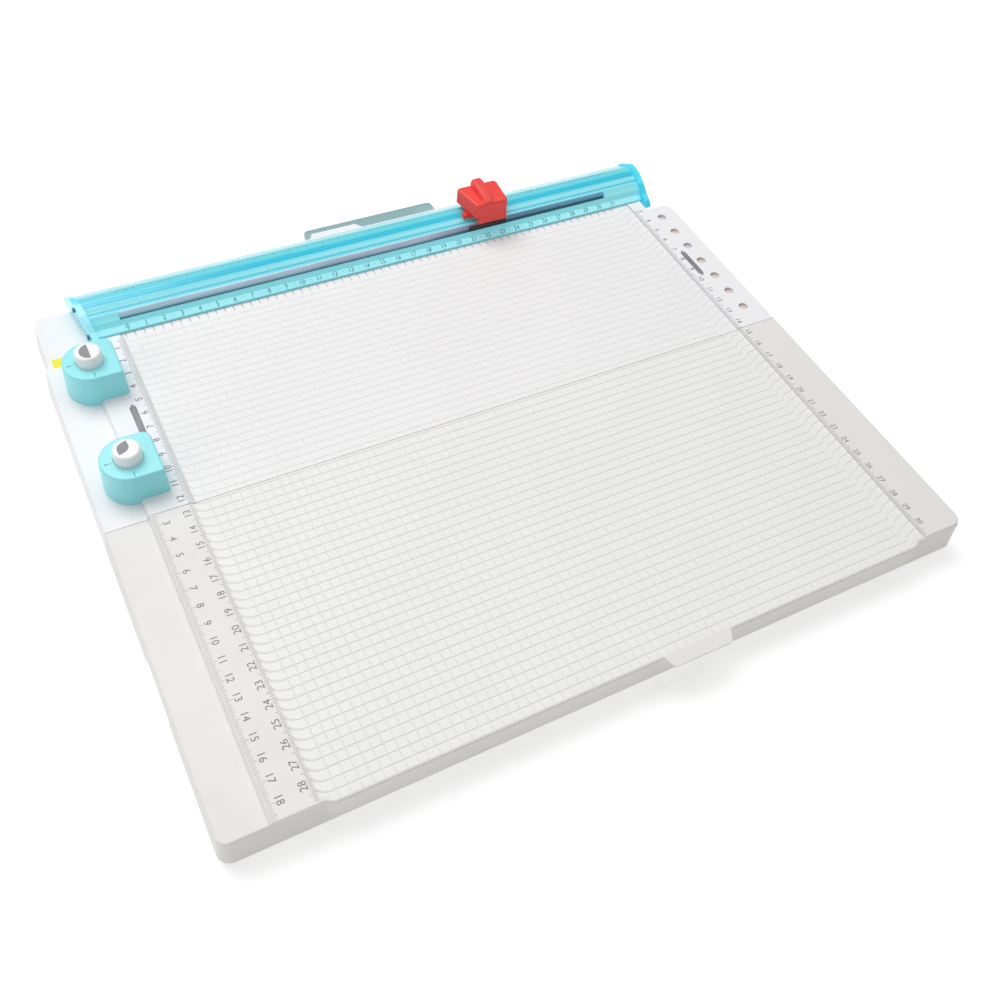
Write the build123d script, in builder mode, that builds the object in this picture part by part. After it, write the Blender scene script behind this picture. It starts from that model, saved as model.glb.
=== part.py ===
from build123d import *

import os
from math import atan2, degrees

# Folding paper trimmer and score board, as separate pieces. Millimetres, +Z up.
#
# The board lies flat on its feet. X runs along the trimmer rail, Y to the rear, and the origin is under the
# middle of the whole outline, on the surface that the board stands on. Heights named *_Z are above that
# surface. Distances named *_Y are measured from the fold line, and on_y() turns one into a place in Y.

# ---- board ----
HALF_WIDTH = 198.3          # half of the board at its lower rim
HALF_DEPTH = 166.1          # fold line to the outer wall of either half, at the rim
DRAFT = 1.6                 # how far the walls lean in from rim to top
FRONT_REACH = 172.8         # fold line to the edge of the front tab
REAR_REACH = 176.5          # fold line to the back of the carry handle
SEAM_GAP = 0.3              # gap between the halves
RIM_Z = 3.2                 # underside of the shells
WING_Z = 19.6               # low wing on the left
FIELD_Z = 21.0              # top of the score plates and of the bed under the rail
PLATE = 0.5                 # thickness of the score plates
PLATE_GAP = 0.1             # gap round a score plate
LIP = 1.5                   # lip of the deck in front of the front score plate
STRIP_Z = 22.0              # ruler strip and right margin
COVER = 2.0                 # bottom cover thickness
SKIN = 2.0                  # top skin of the shells
INNER_HALF = 194.3          # inside faces of the side walls
STRIP_X = -176.0            # left edge of the ruler strip
FIELD_X = (-155.0, 170.9)   # scored field from side to side
BED_X = (-164.6, 180.5)     # bed under the rail from side to side
BED_Y = 124.3               # where the bed starts
STRIP_END_Y = 115.0         # rear end of the ruler strip
WING_END_Y = 154.1          # rear end of the left wing
MARGIN_END_Y = 115.6        # rear end of the right margin
CORNER = 6.0                # plan radius of the board's corners
EDGE = 0.9                  # rounding of the top outer edges

# ---- fold hinge ----
FOLD_Z = 1.5                # height of the fold axis
KNUCKLE_R = 1.35
FOLD_PIN_R = 0.75
RUN = 0.05                  # radial clearance of a running fit
LEAF = 1.0                  # leaf thickness
LEAF_REACH = 13.0           # fold line to the edge of a leaf
HINGE_LENGTH = 66.0
HINGE_X = (-120.0, 120.0)

# ---- feet and screws ----
FOOT_R = 7.0
REAR_FEET = (170.0, 60.0, 135.0)     # half spacing in X, near Y, far Y
FRONT_FEET = (150.0, 30.0, 150.0)
SCREW_R = 1.3
SCREW_HEAD_R = 2.6
SCREW_HEAD = 1.3
BOSS_R = 3.6
REAR_SCREWS = (184.0, 60.0, (10.0, 105.0))
FRONT_SCREWS = (184.0, 60.0, (10.0, 156.0))

# ---- rail section, as (distance from the fold line, height above the strip) ----
RAIL_OUTER = [(125.5, -0.5), (125.5, 0.5), (129.0, 2.1), (130.6, 4.5), (134.2, 7.0), (137.5, 8.0), (139.1, 8.8),
              (140.6, 9.2), (144.6, 9.7), (147.6, 9.4), (149.6, 8.7), (152.6, 7.2), (158.6, 3.4)]
RAIL_INNER = [(155.6, 3.0), (152.6, 5.0), (149.6, 6.5), (147.6, 7.2), (144.6, 7.5), (140.6, 7.0), (137.5, 5.8),
              (134.2, 4.8), (132.2, 3.4), (131.2, 2.0), (131.2, -0.5)]
RAIL_END_LEFT = (-166.4, -171.5)     # X of the rail's left end at its front and rear edges
RAIL_END_RIGHT = (181.8, 185.0)
RAIL_Y = (125.5, 159.4)
CAP_THICK = 3.4
AXIS_Y = 157.0              # rail hinge axis
AXIS_Z = STRIP_Z + 1.6
BARREL_R = 2.3
RAIL_PIN_R = 0.9
EAR_LENGTH = 10.0
EAR_X = (-142.0, 158.0)
SLOT_X = (-152.1, 156.5)    # blade slot along the rail
SLOT_Y = (130.6, 134.2)
LINER = 0.6
BLADE_Y = 132.5             # line of the cut

# ---- cutter carriage ----
CARRIAGE_X = 73.0
COVER_Y = (130.9, 151.6)        # front and rear faces of the cover
COVER_FRONT_X = (-9.8, 11.4)    # sides of its front face, from CARRIAGE_X
COVER_REAR_X = (-14.6, 13.0)    # sides of its rear face
COVER_Z = 35.2                  # lower edge of the cover's sides
COVER_TOP_Z = 44.0
COVER_WALL = 1.1
COVER_CORNER = 2.4              # rounding of its upright corners
COVER_EDGE = 1.7                # rounding of its top edges
COVER_ROOF_Z = 42.2             # ceiling inside the cover
APRON_X = (-7.8, 11.0)          # sides of the apron under the cover's front
APRON_Z = 30.0                  # lower edge of the apron
APRON_DEPTH = 6.4               # the apron runs out this far behind the front face
GRIP_X = -1.2                   # middle of the grip ridge
GRIP_TOP_Z = 48.6               # crest of the grip ridge
GRIP_CREST_Y = 147.0            # where the ridge is highest
GRIP_BEND = 31.2                # radius of the crest line, seen from the side
GRIP_HALF = 3.7                 # half width of the ridge
GRIP_ROUND = 2.3                # rounding of its long edges
SLIDER_TOP_Z = 33.4             # leaves the cover room to be pressed
SHOULDER_X = 14.6               # half width of the slider's front shoulder
SHOULDER_Y = (137.8, 141.0)
RUNNER_X = 11.0                 # half width of the runner behind it
RUNNER_END_Y = 149.3
WINDOW_X = (11.6, 13.8)         # dark window in each end of the shoulder
LEG_X = (4.4, 6.4)              # legs of the slider
LEG_Y = (132.1, 133.3)
CREST_GAP = 0.35                # slider to the rail under it
HOLDER_X = 3.9                  # half width of the blade holder
HOLDER_FOOT_X = (-13.6, 11.2)   # its foot, which closes the slot under the cover
HOLDER_FOOT_Y = (131.0, 131.8)
HOLDER_FOOT_Z = (STRIP_Z + 3.2, STRIP_Z + 7.4)
BLADE_X = 2.9                   # half width of the blade
BLADE_THICK = 0.4
BLADE_TOP_Z = STRIP_Z + 9.0
SHOE_Y = (132.1, 137.6)
SHOE_Z = (STRIP_Z + 1.1, STRIP_Z + 2.6)
SPRING_Y = 143.0
SPRING_SEAT_Z = 38.4            # upper end of the cutter spring
SPRING_SEAT_R = 3.0
SPRING_PEG_R = 1.2

# ---- corner punches ----
PUNCH_X = -175.4
PUNCH_Y = (94.95, 25.3)
PUNCH_R = 14.7              # round end of the housing at its base
PUNCH_RIGHT = 14.4          # centre to the flat side
PUNCH_TOP_Z = 37.5
PUNCH_WALL = 1.8
KNOB_R = 6.9
KNOB_TOP_R = 6.6
KNOB_ROUND = 1.3            # rounding of its top edge
KNOB_TOP_Z = 44.0
SHAFT_R = 4.0
TOOL_R = 3.6
THROAT = 1.2                # height of the paper slot
PUNCH_PRESS = 4.0           # travel of a punch knob
SEAT = 1.4                  # thickness of the seat between throat and spring
COLLAR_Z = (31.8, 33.3)     # collar that the return spring pushes up

# ---- carry handle and tabs ----
HANDLE_X = (-30.9, 54.4)
HANDLE_Z = (12.0, 18.0)
HANDLE_FRONT = 166.6
ARM = 6.0
ARM_LENGTH = 46.0
TAB = 1.4

# ---- small parts ----
MARKER_X = (-163.2, 178.1)  # inlaid storage markers, left and right
MARKER_Y = 60.1
CAP_SCREWS = ((143.0, 7.6), (127.2, 0.7))    # distance and height above the strip

SEAM_Y = (FRONT_REACH - REAR_REACH) / 2
SEAT_Z = STRIP_Z + THROAT + SEAT
SHAFT_FOOT_Z = SEAT_Z + PUNCH_PRESS + 0.3    # clears the seat at full press
SHAFT_TOP_Z = 41.0
FLANGE = 1.1                    # how far the knob's flange stands out
PUNCH_DRAFT = 0.95              # lean of the housing's walls over their height
PUNCH_ROOF = 2.0
OVER = 5.0                  # how far a cutting shape runs past what it cuts
CUT = Mode.SUBTRACT
NEAR = 0.01                 # width of the band in which an edge is looked for
LEAN = degrees(atan2(DRAFT, WING_Z - RIM_Z))


# rows and pockets in the shells
RIBS_X = (-90.0, 0.0, 90.0)
RIB = 1.6
RIB_END_Y = 110.0
DIMPLE_X = 185.0
DIMPLE_Y = 105.1                # rear-most peg dimple
DIMPLE_PITCH = 15.0
DIMPLES = 7
DIMPLE_R = 2.8
DIMPLE_DEPTH = 1.6
MARKER_DEPTH = 0.8
MARKER_PROUD = 0.05             # the print stands this far off its recess's rim
MARKER_TIP = 12.5               # half length over the points
MARKER_BODY = 10.0              # half length of the parallel part
MARKER_HALF = 1.7
MAT_HALF = 3.2
MAT_DEPTH = 1.4
MAT_OVERHANG = 2.0              # the mat is this much longer than the slot at each end
MAT_GROOVE = 0.6                # half width of the blade's groove
MAT_GROOVE_DEPTH = 1.2
DIE_X = (PUNCH_X - 8.0, PUNCH_X + 12.0)
DIE_HALF = 8.0
PLUG_R = 8.0
REAR_TAB_X = (-30.5, 3.4)       # roots of the small rear tab
REAR_TAB_TOP_X = (-28.1, -0.2)
REAR_TAB_Y = 168.6
TAB_ROOT_Y = 160.0              # tabs start this far from the fold, inside the deck
FRONT_TAB_X = (9.0, 48.5)
FRONT_TAB_TOP_X = (12.0, 44.0)
DOORWAY_Y = (150.0, 172.0)
NOTCH_Y = 81.0                  # middle of the finger notch in the left wall
NOTCH_LENGTH = 34.0
NOTCH_HEIGHT = 9.0
NOTCH_DEPTH = 1.6


def on_y(distance):
    """Place in Y of a distance from the fold line."""
    return SEAM_Y + distance


def block(x, y, z):
    """Closed box between two X, two distances from the fold line and two heights."""
    size = (x[1] - x[0], y[1] - y[0], z[1] - z[0])
    centre = ((x[0] + x[1]) / 2, on_y((y[0] + y[1]) / 2), (z[0] + z[1]) / 2)
    return Pos(*centre) * Box(*size, mode=Mode.PRIVATE)


def rod(x, y, z, radius):
    """Upright round bar between two heights."""
    return Pos(x, on_y(y), (z[0] + z[1]) / 2) * Cylinder(radius, z[1] - z[0], mode=Mode.PRIVATE)


def bar(x, y, z, radius):
    """Round bar along X."""
    return Pos((x[0] + x[1]) / 2, on_y(y), z) * Rot(0, 90, 0) * Cylinder(radius, x[1] - x[0], mode=Mode.PRIVATE)


def save(piece, name):
    """Label a finished piece and write its file."""
    piece.part.label = name
    export_step(piece.part, f"parts/{name}.step")


def grid(spots):
    """The places of a group: both signs of each half spacing in X at each distance from the fold line."""
    return [(side * x, y) for x, y in spots for side in (-1, 1)]


def foot_places(layout, sign):
    half, near, far = layout
    return [(x, sign * y) for x, y in grid([(half, near), (half, far)])]


def screw_places(layout, sign):
    outer, inner, rows = layout
    return [(x, sign * y) for x, y in grid([(half, row) for row in rows for half in (outer, inner)])]


# ---------------------------------------------------------------- shells

def rear_outline(grow):
    """Plan of the rear half, past the fold line by OVER; grow widens it for the leaning walls."""
    left = -HALF_WIDTH + DRAFT - grow
    right = HALF_WIDTH - DRAFT + grow
    back = on_y(HALF_DEPTH - DRAFT + grow)
    wing = on_y(WING_END_Y + grow)
    margin = on_y(MARGIN_END_Y + grow)
    step = on_y(STRIP_END_Y)
    with BuildSketch(Plane.XY) as plan:
        with BuildLine():
            FilletPolyline(
                (right, on_y(-OVER)), (right, margin), (BED_X[1] + grow, margin), (BED_X[1] + grow, back),
                (BED_X[0] - grow, back), (BED_X[0] - grow, wing), (left + 2.4, wing),
                (left + 2.4, step + 3.0), (left, step), (left, on_y(-OVER)),
                radius=[CORNER - 1.5, 0.8, 2.0, 2.0, 0.8, CORNER, 0.8, 0.8])
            Line((left, on_y(-OVER)), (right, on_y(-OVER)))
        make_face()
    return plan.sketch


def front_outline(grow):
    """Plan of the front half, past the fold line by OVER."""
    side = HALF_WIDTH - DRAFT + grow
    wall = on_y(-HALF_DEPTH + DRAFT - grow)
    with BuildSketch(Plane.XY) as plan:
        with BuildLine():
            FilletPolyline((-side, on_y(OVER)), (-side, wall), (side, wall), (side, on_y(OVER)), radius=CORNER)
            Line((side, on_y(OVER)), (-side, on_y(OVER)))
        make_face()
    return plan.sketch


def level_edges(deck, height):
    """Edges along Y at one height of a deck."""
    return deck.edges().filter_by_position(Axis.Z, height - NEAR, height + NEAR).filter_by(Axis.Y)


def rear_deck():
    """Upper shell of the rear half: wing, ruler strip, scored field, bed and right margin."""
    fold = SEAM_GAP / 2
    rim_plan = rear_outline(DRAFT)
    top_plan = rear_outline(0)
    marker = marker_outline()
    with BuildPart() as deck:
        with BuildSketch(Plane.XY.offset(RIM_Z)):
            add(rim_plan)
        extrude(amount=WING_Z - RIM_Z, taper=LEAN)
        with BuildSketch(Plane.XY.offset(WING_Z)):
            add(top_plan)
            with Locations((-HALF_WIDTH, 0)):
                Rectangle(2 * (HALF_WIDTH + STRIP_X), 2 * HALF_WIDTH + 4 * OVER, mode=CUT)
            with Locations((BED_X[0], on_y(STRIP_END_Y))):
                Rectangle(HALF_WIDTH, HALF_WIDTH, align=(Align.MAX, Align.MIN), mode=CUT)
        extrude(amount=STRIP_Z - WING_Z)
        step = deck.edges().filter_by(Axis.Y).filter_by_position(Axis.X, STRIP_X - 0.1, STRIP_X + 0.1)
        chamfer(step.sort_by(Axis.Z)[-1], EDGE)
        add(block(FIELD_X, (-OVER, HALF_WIDTH), (FIELD_Z, STRIP_Z + OVER)), mode=CUT)
        add(block((-HALF_WIDTH, HALF_WIDTH), (BED_Y, HALF_WIDTH), (FIELD_Z, STRIP_Z + OVER)), mode=CUT)
        add(block((-HALF_WIDTH - OVER, HALF_WIDTH + OVER), (-2 * OVER, fold), (0, STRIP_Z + OVER)),
            mode=CUT)
        fillet(level_edges(deck, WING_Z).sort_by(Axis.X)[0], EDGE)
        fillet(level_edges(deck, STRIP_Z).sort_by(Axis.X)[-1], EDGE)
        add(block(FIELD_X, (-OVER, BED_Y), (FIELD_Z - PLATE, STRIP_Z)), mode=CUT)
        # hollow under the skin, in three bays that follow the outline
        add(block((-INNER_HALF + 2.4, STRIP_X), (fold + SKIN, WING_END_Y - SKIN), (0, WING_Z - SKIN)),
            mode=CUT)
        add(block((STRIP_X, BED_X[1] - SKIN), (fold + SKIN, WING_END_Y - SKIN), (0, FIELD_Z - SKIN)),
            mode=CUT)
        add(block((BED_X[0] + SKIN, BED_X[1] - SKIN), (WING_END_Y - SKIN, HALF_DEPTH - DRAFT - SKIN),
                  (0, FIELD_Z - SKIN)), mode=CUT)
        add(block((BED_X[1] - SKIN, INNER_HALF), (fold + SKIN, MARGIN_END_Y - SKIN), (0, FIELD_Z - SKIN)),
            mode=CUT)
        # ribs across the hollow and screw bosses
        for rib_x in RIBS_X:
            add(block((rib_x - RIB / 2, rib_x + RIB / 2), (fold, RIB_END_Y),
                      (RIM_Z + COVER, FIELD_Z - SKIN / 2)))
        for x, y in screw_places(REAR_SCREWS, 1):
            add(rod(x, y, (RIM_Z + COVER, (WING_Z if x < STRIP_X else FIELD_Z) - SKIN / 2), BOSS_R))
            add(rod(x, y, (0, WING_Z - 2 * SKIN), SCREW_R), mode=CUT)
        # bed pocket for the cutting mat and the hinge ears
        add(mat_block(FIELD_Z + 1), mode=CUT)
        # recesses for the punch dies, with a chip hole through the skin
        for y in PUNCH_Y:
            add(block(DIE_X, (y - DIE_HALF, y + DIE_HALF), (WING_Z, STRIP_Z + 1)), mode=CUT)
            add(rod(PUNCH_X, y, (WING_Z - 2 * SKIN, WING_Z + 1), TOOL_R + 0.8), mode=CUT)
        # peg dimples and marker recesses
        for number in range(DIMPLES):
            dimple_y = DIMPLE_Y - DIMPLE_PITCH * number
            add(rod(DIMPLE_X, dimple_y, (STRIP_Z - DIMPLE_DEPTH, STRIP_Z + 1), DIMPLE_R), mode=CUT)
        for x in MARKER_X:
            with BuildSketch(Plane.XY.offset(STRIP_Z - MARKER_DEPTH)):
                with Locations((x, on_y(MARKER_Y))):
                    add(marker)
            extrude(amount=MARKER_DEPTH + 0.2, mode=CUT)
        # rear tab and the doorway of the carry handle
        with BuildSketch(Plane.XY.offset(FIELD_Z - TAB)):
            with BuildLine():
                Polyline((REAR_TAB_X[0], on_y(TAB_ROOT_Y)), (REAR_TAB_X[0], on_y(HALF_DEPTH - DRAFT)),
                         (REAR_TAB_TOP_X[0], on_y(REAR_TAB_Y)), (REAR_TAB_TOP_X[1], on_y(REAR_TAB_Y)),
                         (REAR_TAB_X[1], on_y(HALF_DEPTH - DRAFT)), (REAR_TAB_X[1], on_y(TAB_ROOT_Y)),
                         close=True)
            make_face()
        extrude(amount=TAB)
        for arm_x in arm_places():
            add(block((arm_x - ARM / 2 - 0.3, arm_x + ARM / 2 + 0.3), DOORWAY_Y,
                      (HANDLE_Z[0] + 0.7, HANDLE_Z[1] - 0.7)), mode=CUT)
    return deck


def mat_block(top_z):
    """Body of the cutting mat, or its pocket in the bed, up to some height."""
    along = (SLOT_X[0] - MAT_OVERHANG, SLOT_X[1] + MAT_OVERHANG)
    return block(along, (BLADE_Y - MAT_HALF, BLADE_Y + MAT_HALF), (FIELD_Z - MAT_DEPTH, top_z))


def marker_outline():
    """Long six-sided bar with pointed ends."""
    with BuildSketch(Plane.XY) as bar_plan:
        with BuildLine():
            Polyline((0, MARKER_TIP), (MARKER_HALF, MARKER_BODY), (MARKER_HALF, -MARKER_BODY), (0, -MARKER_TIP),
                     (-MARKER_HALF, -MARKER_BODY), (-MARKER_HALF, MARKER_BODY), close=True)
        make_face()
    return bar_plan.sketch


def arm_places():
    return (HANDLE_X[0] + ARM / 2 + 1.0, HANDLE_X[1] - ARM / 2 - 1.0)


def front_deck():
    """Upper shell of the front half, with the tab in its front edge and a finger notch on the left."""
    fold = -SEAM_GAP / 2
    wall = -HALF_DEPTH + DRAFT
    rim_plan = front_outline(DRAFT)
    top_plan = front_outline(0)
    with BuildPart() as deck:
        with BuildSketch(Plane.XY.offset(RIM_Z)):
            add(rim_plan)
        extrude(amount=WING_Z - RIM_Z, taper=LEAN)
        with BuildSketch(Plane.XY.offset(WING_Z)):
            add(top_plan)
            with Locations((-HALF_WIDTH, 0)):
                Rectangle(2 * (HALF_WIDTH + STRIP_X), 2 * HALF_WIDTH + 4 * OVER, mode=CUT)
        extrude(amount=STRIP_Z - WING_Z)
        step = deck.edges().filter_by(Axis.Y).filter_by_position(Axis.X, STRIP_X - 0.1, STRIP_X + 0.1)
        chamfer(step.sort_by(Axis.Z)[-1], EDGE)
        add(block(FIELD_X, (-HALF_WIDTH, 2 * OVER), (FIELD_Z, STRIP_Z + OVER)), mode=CUT)
        add(block((-HALF_WIDTH - OVER, HALF_WIDTH + OVER), (fold, 2 * OVER), (0, STRIP_Z + OVER)),
            mode=CUT)
        fillet(level_edges(deck, WING_Z).sort_by(Axis.X)[0], EDGE)
        fillet(level_edges(deck, STRIP_Z).sort_by(Axis.X)[-1], EDGE)
        field_front = deck.edges().filter_by(Axis.X).filter_by_position(Axis.Z, FIELD_Z - NEAR, FIELD_Z + NEAR)
        fillet(field_front.sort_by(Axis.Y)[0], EDGE / 2)
        # hollow under the skin
        add(block((-INNER_HALF, STRIP_X), (wall + SKIN, fold - SKIN), (0, WING_Z - SKIN)), mode=CUT)
        add(block((STRIP_X, INNER_HALF), (wall + SKIN, fold - SKIN), (0, FIELD_Z - SKIN)), mode=CUT)
        for rib_x in RIBS_X:
            add(block((rib_x - RIB / 2, rib_x + RIB / 2), (wall + 1, fold),
                      (RIM_Z + COVER, FIELD_Z - SKIN / 2)))
        for x, y in screw_places(FRONT_SCREWS, -1):
            add(rod(x, y, (RIM_Z + COVER, (WING_Z if x < STRIP_X else FIELD_Z) - SKIN / 2), BOSS_R))
            add(rod(x, y, (0, WING_Z - 2 * SKIN), SCREW_R), mode=CUT)
        # finger notch in the lower left wall
        with BuildSketch(Plane.YZ.offset(-HALF_WIDTH - 1)):
            with Locations((on_y(-NOTCH_Y), RIM_Z)):
                SlotOverall(NOTCH_LENGTH, NOTCH_HEIGHT)
        extrude(amount=1 + NOTCH_DEPTH, mode=CUT)
        # latch tab, level with the field
        with BuildSketch(Plane.XY.offset(FIELD_Z - TAB)):
            with BuildLine():
                FilletPolyline((FRONT_TAB_X[0], on_y(-TAB_ROOT_Y)), (FRONT_TAB_X[0], on_y(wall)),
                               (FRONT_TAB_TOP_X[0], on_y(-FRONT_REACH)),
                               (FRONT_TAB_TOP_X[1], on_y(-FRONT_REACH)),
                               (FRONT_TAB_X[1], on_y(wall)), (FRONT_TAB_X[1], on_y(-TAB_ROOT_Y)),
                               radius=[1.0, 2.0, 3.0, 1.0], close=False)
                Line((FRONT_TAB_X[1], on_y(-TAB_ROOT_Y)), (FRONT_TAB_X[0], on_y(-TAB_ROOT_Y)))
            make_face()
        extrude(amount=TAB)
        add(block(FIELD_X, (wall + LIP, OVER), (FIELD_Z - PLATE, STRIP_Z)), mode=CUT)
    return deck


def score_plate(front, back):
    """Flat plate of the scored field between two distances from the fold line."""
    with BuildPart() as plate:
        add(block((FIELD_X[0] + PLATE_GAP, FIELD_X[1] - PLATE_GAP), (front, back), (FIELD_Z - PLATE, FIELD_Z)))
    return plate


def base_cover(outline_blocks, feet, screws):
    """Bottom cover with sunk screw seats; outline_blocks are its plan as (x range, y range) pairs."""
    with BuildPart() as cover:
        for x, y in outline_blocks:
            add(block(x, y, (RIM_Z, RIM_Z + COVER)))
        for x, y in screws:
            add(rod(x, y, (0, RIM_Z + SCREW_HEAD), SCREW_HEAD_R + 0.3), mode=CUT)
            add(rod(x, y, (0, RIM_Z + COVER + 1), SCREW_R + 0.2), mode=CUT)
        for x, y in feet:
            add(rod(x, y, (RIM_Z, RIM_Z + 0.8), FOOT_R), mode=CUT)
    return cover


def feet_set(places):
    """Rubber feet, each let into the cover a little."""
    with BuildPart() as feet:
        for x, y in places:
            with BuildSketch(Plane.XY):
                with Locations((x, on_y(y))):
                    Circle(FOOT_R)
            extrude(amount=RIM_Z + 0.8)
        chamfer(feet.edges().group_by(Axis.Z)[0], 0.6)
    return feet


def screw_set(places, head_z):
    """Countersunk-style cover screws with a cross recess, heads down."""
    with BuildPart() as screws:
        for x, y in places:
            add(rod(x, y, (head_z, head_z + SCREW_HEAD), SCREW_HEAD_R))
            add(rod(x, y, (head_z + SCREW_HEAD, head_z + 9.0), SCREW_R - 0.05))
            for long, wide in ((1.4, 0.3), (0.3, 1.4)):
                add(block((x - long, x + long), (y - wide, y + wide), (head_z - 1, head_z + 0.7)), mode=CUT)
    return screws


# ---------------------------------------------------------------- fold hinge

def knuckle_spans(centre, own):
    """X ranges of the knuckles that belong to one leaf; own is 0 for the rear leaf and 1 for the front one."""
    count = 5
    pitch = HINGE_LENGTH / count
    start = centre - HINGE_LENGTH / 2
    spans = [(start + n * pitch, start + (n + 1) * pitch) for n in range(count) if n % 2 == own]
    return [(a + 0.15, b - 0.15) for a, b in spans]


def hinge_leaves(side, own):
    """Both leaves of one half: a plate on the cover and knuckles on the fold axis."""
    keep_off = KNUCKLE_R + 0.6
    with BuildPart() as leaves:
        for centre in HINGE_X:
            low, high = sorted((side * keep_off, side * LEAF_REACH))
            add(block((centre - HINGE_LENGTH / 2, centre + HINGE_LENGTH / 2), (low, high),
                      (RIM_Z - LEAF, RIM_Z)))
            for span in knuckle_spans(centre, own):
                low, high = sorted((side * 0.1, side * (keep_off + 1)))
                add(block(span, (low, high), (RIM_Z - LEAF, RIM_Z)))
                add(bar(span, 0, FOLD_Z, KNUCKLE_R))
            for span in knuckle_spans(centre, own):
                add(bar((span[0] - 1, span[1] + 1), 0, FOLD_Z, FOLD_PIN_R + RUN), mode=CUT)
    return leaves


def fold_pins():
    with BuildPart() as pins:
        for centre in HINGE_X:
            add(bar((centre - HINGE_LENGTH / 2, centre + HINGE_LENGTH / 2), 0, FOLD_Z, FOLD_PIN_R))
    return pins


# ---------------------------------------------------------------- rail

def rail_point(point):
    """A rail section point as a place in Y and Z."""
    return (on_y(point[0]), STRIP_Z + point[1])


def slanted(end, shift):
    """Plane through a rail end: end is its X at the rail's front and rear edges, shift moves it along X."""
    run = RAIL_Y[1] - RAIL_Y[0]
    start = (end[0] + shift, on_y(RAIL_Y[0]), 0)
    along = (end[1] - end[0], run, 0)
    normal = (run, end[0] - end[1], 0)
    return Plane(origin=start, x_dir=along, z_dir=normal)


def rail_section(outer, inner):
    """Section of the rail, drawn with Y across and Z up."""
    with BuildSketch(Plane.XY) as section:
        with BuildLine():
            Polyline(*[rail_point(p) for p in outer + inner], close=True)
        make_face()
        with Locations((on_y(AXIS_Y), AXIS_Z)):
            Circle(BARREL_R)
    return section.sketch


def rail_body():
    """Clear arched rail with a blade slot, a ruler flap in front and a hinge barrel behind."""
    section = rail_section(RAIL_OUTER, RAIL_INNER)
    with BuildPart() as rail:
        with BuildSketch(Plane.YZ.offset(-HALF_WIDTH)):
            add(section)
        extrude(amount=2 * HALF_WIDTH)
        split(bisect_by=slanted(RAIL_END_LEFT, 0), keep=Keep.TOP)
        split(bisect_by=slanted(RAIL_END_RIGHT, 0), keep=Keep.BOTTOM)
        add(block(SLOT_X, SLOT_Y, (STRIP_Z - 2, STRIP_Z + 12)), mode=CUT)
        add(block((SLOT_X[0], SLOT_X[1]), (126.2, 129.4), (STRIP_Z - 1, STRIP_Z - 0.1)), mode=CUT)
        for x in EAR_X:
            span = (x - EAR_LENGTH / 2 - 0.3, x + EAR_LENGTH / 2 + 0.3)
            add(bar(span, AXIS_Y, AXIS_Z, BARREL_R + 0.5), mode=CUT)
            add(block(span, (AXIS_Y, AXIS_Y + 4), (STRIP_Z - 2, AXIS_Z)), mode=CUT)
            pin = (x - EAR_LENGTH / 2 - 8, x + EAR_LENGTH / 2 + 8)
            add(bar(pin, AXIS_Y, AXIS_Z, RAIL_PIN_R + RUN), mode=CUT)
    return rail


def rail_pins():
    with BuildPart() as pins:
        for x in EAR_X:
            add(bar((x - EAR_LENGTH / 2 - 7, x + EAR_LENGTH / 2 + 7), AXIS_Y, AXIS_Z, RAIL_PIN_R))
    return pins


def rail_ears():
    """Two hinge ears on the bed, bored for the rail pins."""
    ear_r = BARREL_R - 0.1
    with BuildPart() as ears:
        for x in EAR_X:
            span = (x - EAR_LENGTH / 2, x + EAR_LENGTH / 2)
            add(bar(span, AXIS_Y, AXIS_Z, ear_r))
            add(block(span, (AXIS_Y - 2.0, AXIS_Y + 2.0), (FIELD_Z, AXIS_Z)))
            add(bar((span[0] - 1, span[1] + 1), AXIS_Y, AXIS_Z, RAIL_PIN_R + RUN), mode=CUT)
    return ears


def slot_liner():
    """Grey wear strip on the rear wall of the blade slot."""
    with BuildPart() as liner:
        add(block((SLOT_X[0] + 0.2, SLOT_X[1] - 0.2), (SLOT_Y[1] - LINER, SLOT_Y[1]),
                  (STRIP_Z + 3.0, STRIP_Z + 7.1)))
    return liner


def grip_strip():
    """Rubber strip under the rail's front flap, which holds the paper."""
    with BuildPart() as strip:
        add(block((SLOT_X[0] + 0.5, SLOT_X[1] - 0.5), (126.3, 129.3), (STRIP_Z - 0.8, STRIP_Z - 0.1)))
    return strip


def rail_cap(end, outward):
    """End cap of the rail, with a round toe in front to lift it by."""
    with BuildPart() as cap:
        with BuildSketch(Plane.YZ.offset(-HALF_WIDTH * 1.2)):
            with BuildLine():
                top = Spline(rail_point((118.2, 0.2)), rail_point((121.0, 2.5)), rail_point((125.0, 4.0)),
                             rail_point((129.6, 6.8)), rail_point((134.6, 9.2)), rail_point((139.6, 10.5)),
                             rail_point((144.6, 10.9)), rail_point((149.6, 10.0)), rail_point((154.6, 7.4)),
                             rail_point((159.4, 4.2)))
                rear = ThreePointArc(top @ 1, rail_point((AXIS_Y + 3.6, 1.6)), rail_point((AXIS_Y, -2.0)))
                base = Line(rear @ 1, rail_point((119.6, -2.0)))
                ThreePointArc(base @ 1, rail_point((118.3, -1.2)), top @ 0)
            make_face()
        extrude(amount=HALF_WIDTH * 2.4)
        near, far = sorted((0.0, outward * CAP_THICK))
        split(bisect_by=slanted(end, near), keep=Keep.TOP)
        split(bisect_by=slanted(end, far), keep=Keep.BOTTOM)
        for y, z in CAP_SCREWS:
            add(bar((-HALF_WIDTH, HALF_WIDTH), y, STRIP_Z + z, 0.8), mode=CUT)
    return cap


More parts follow.
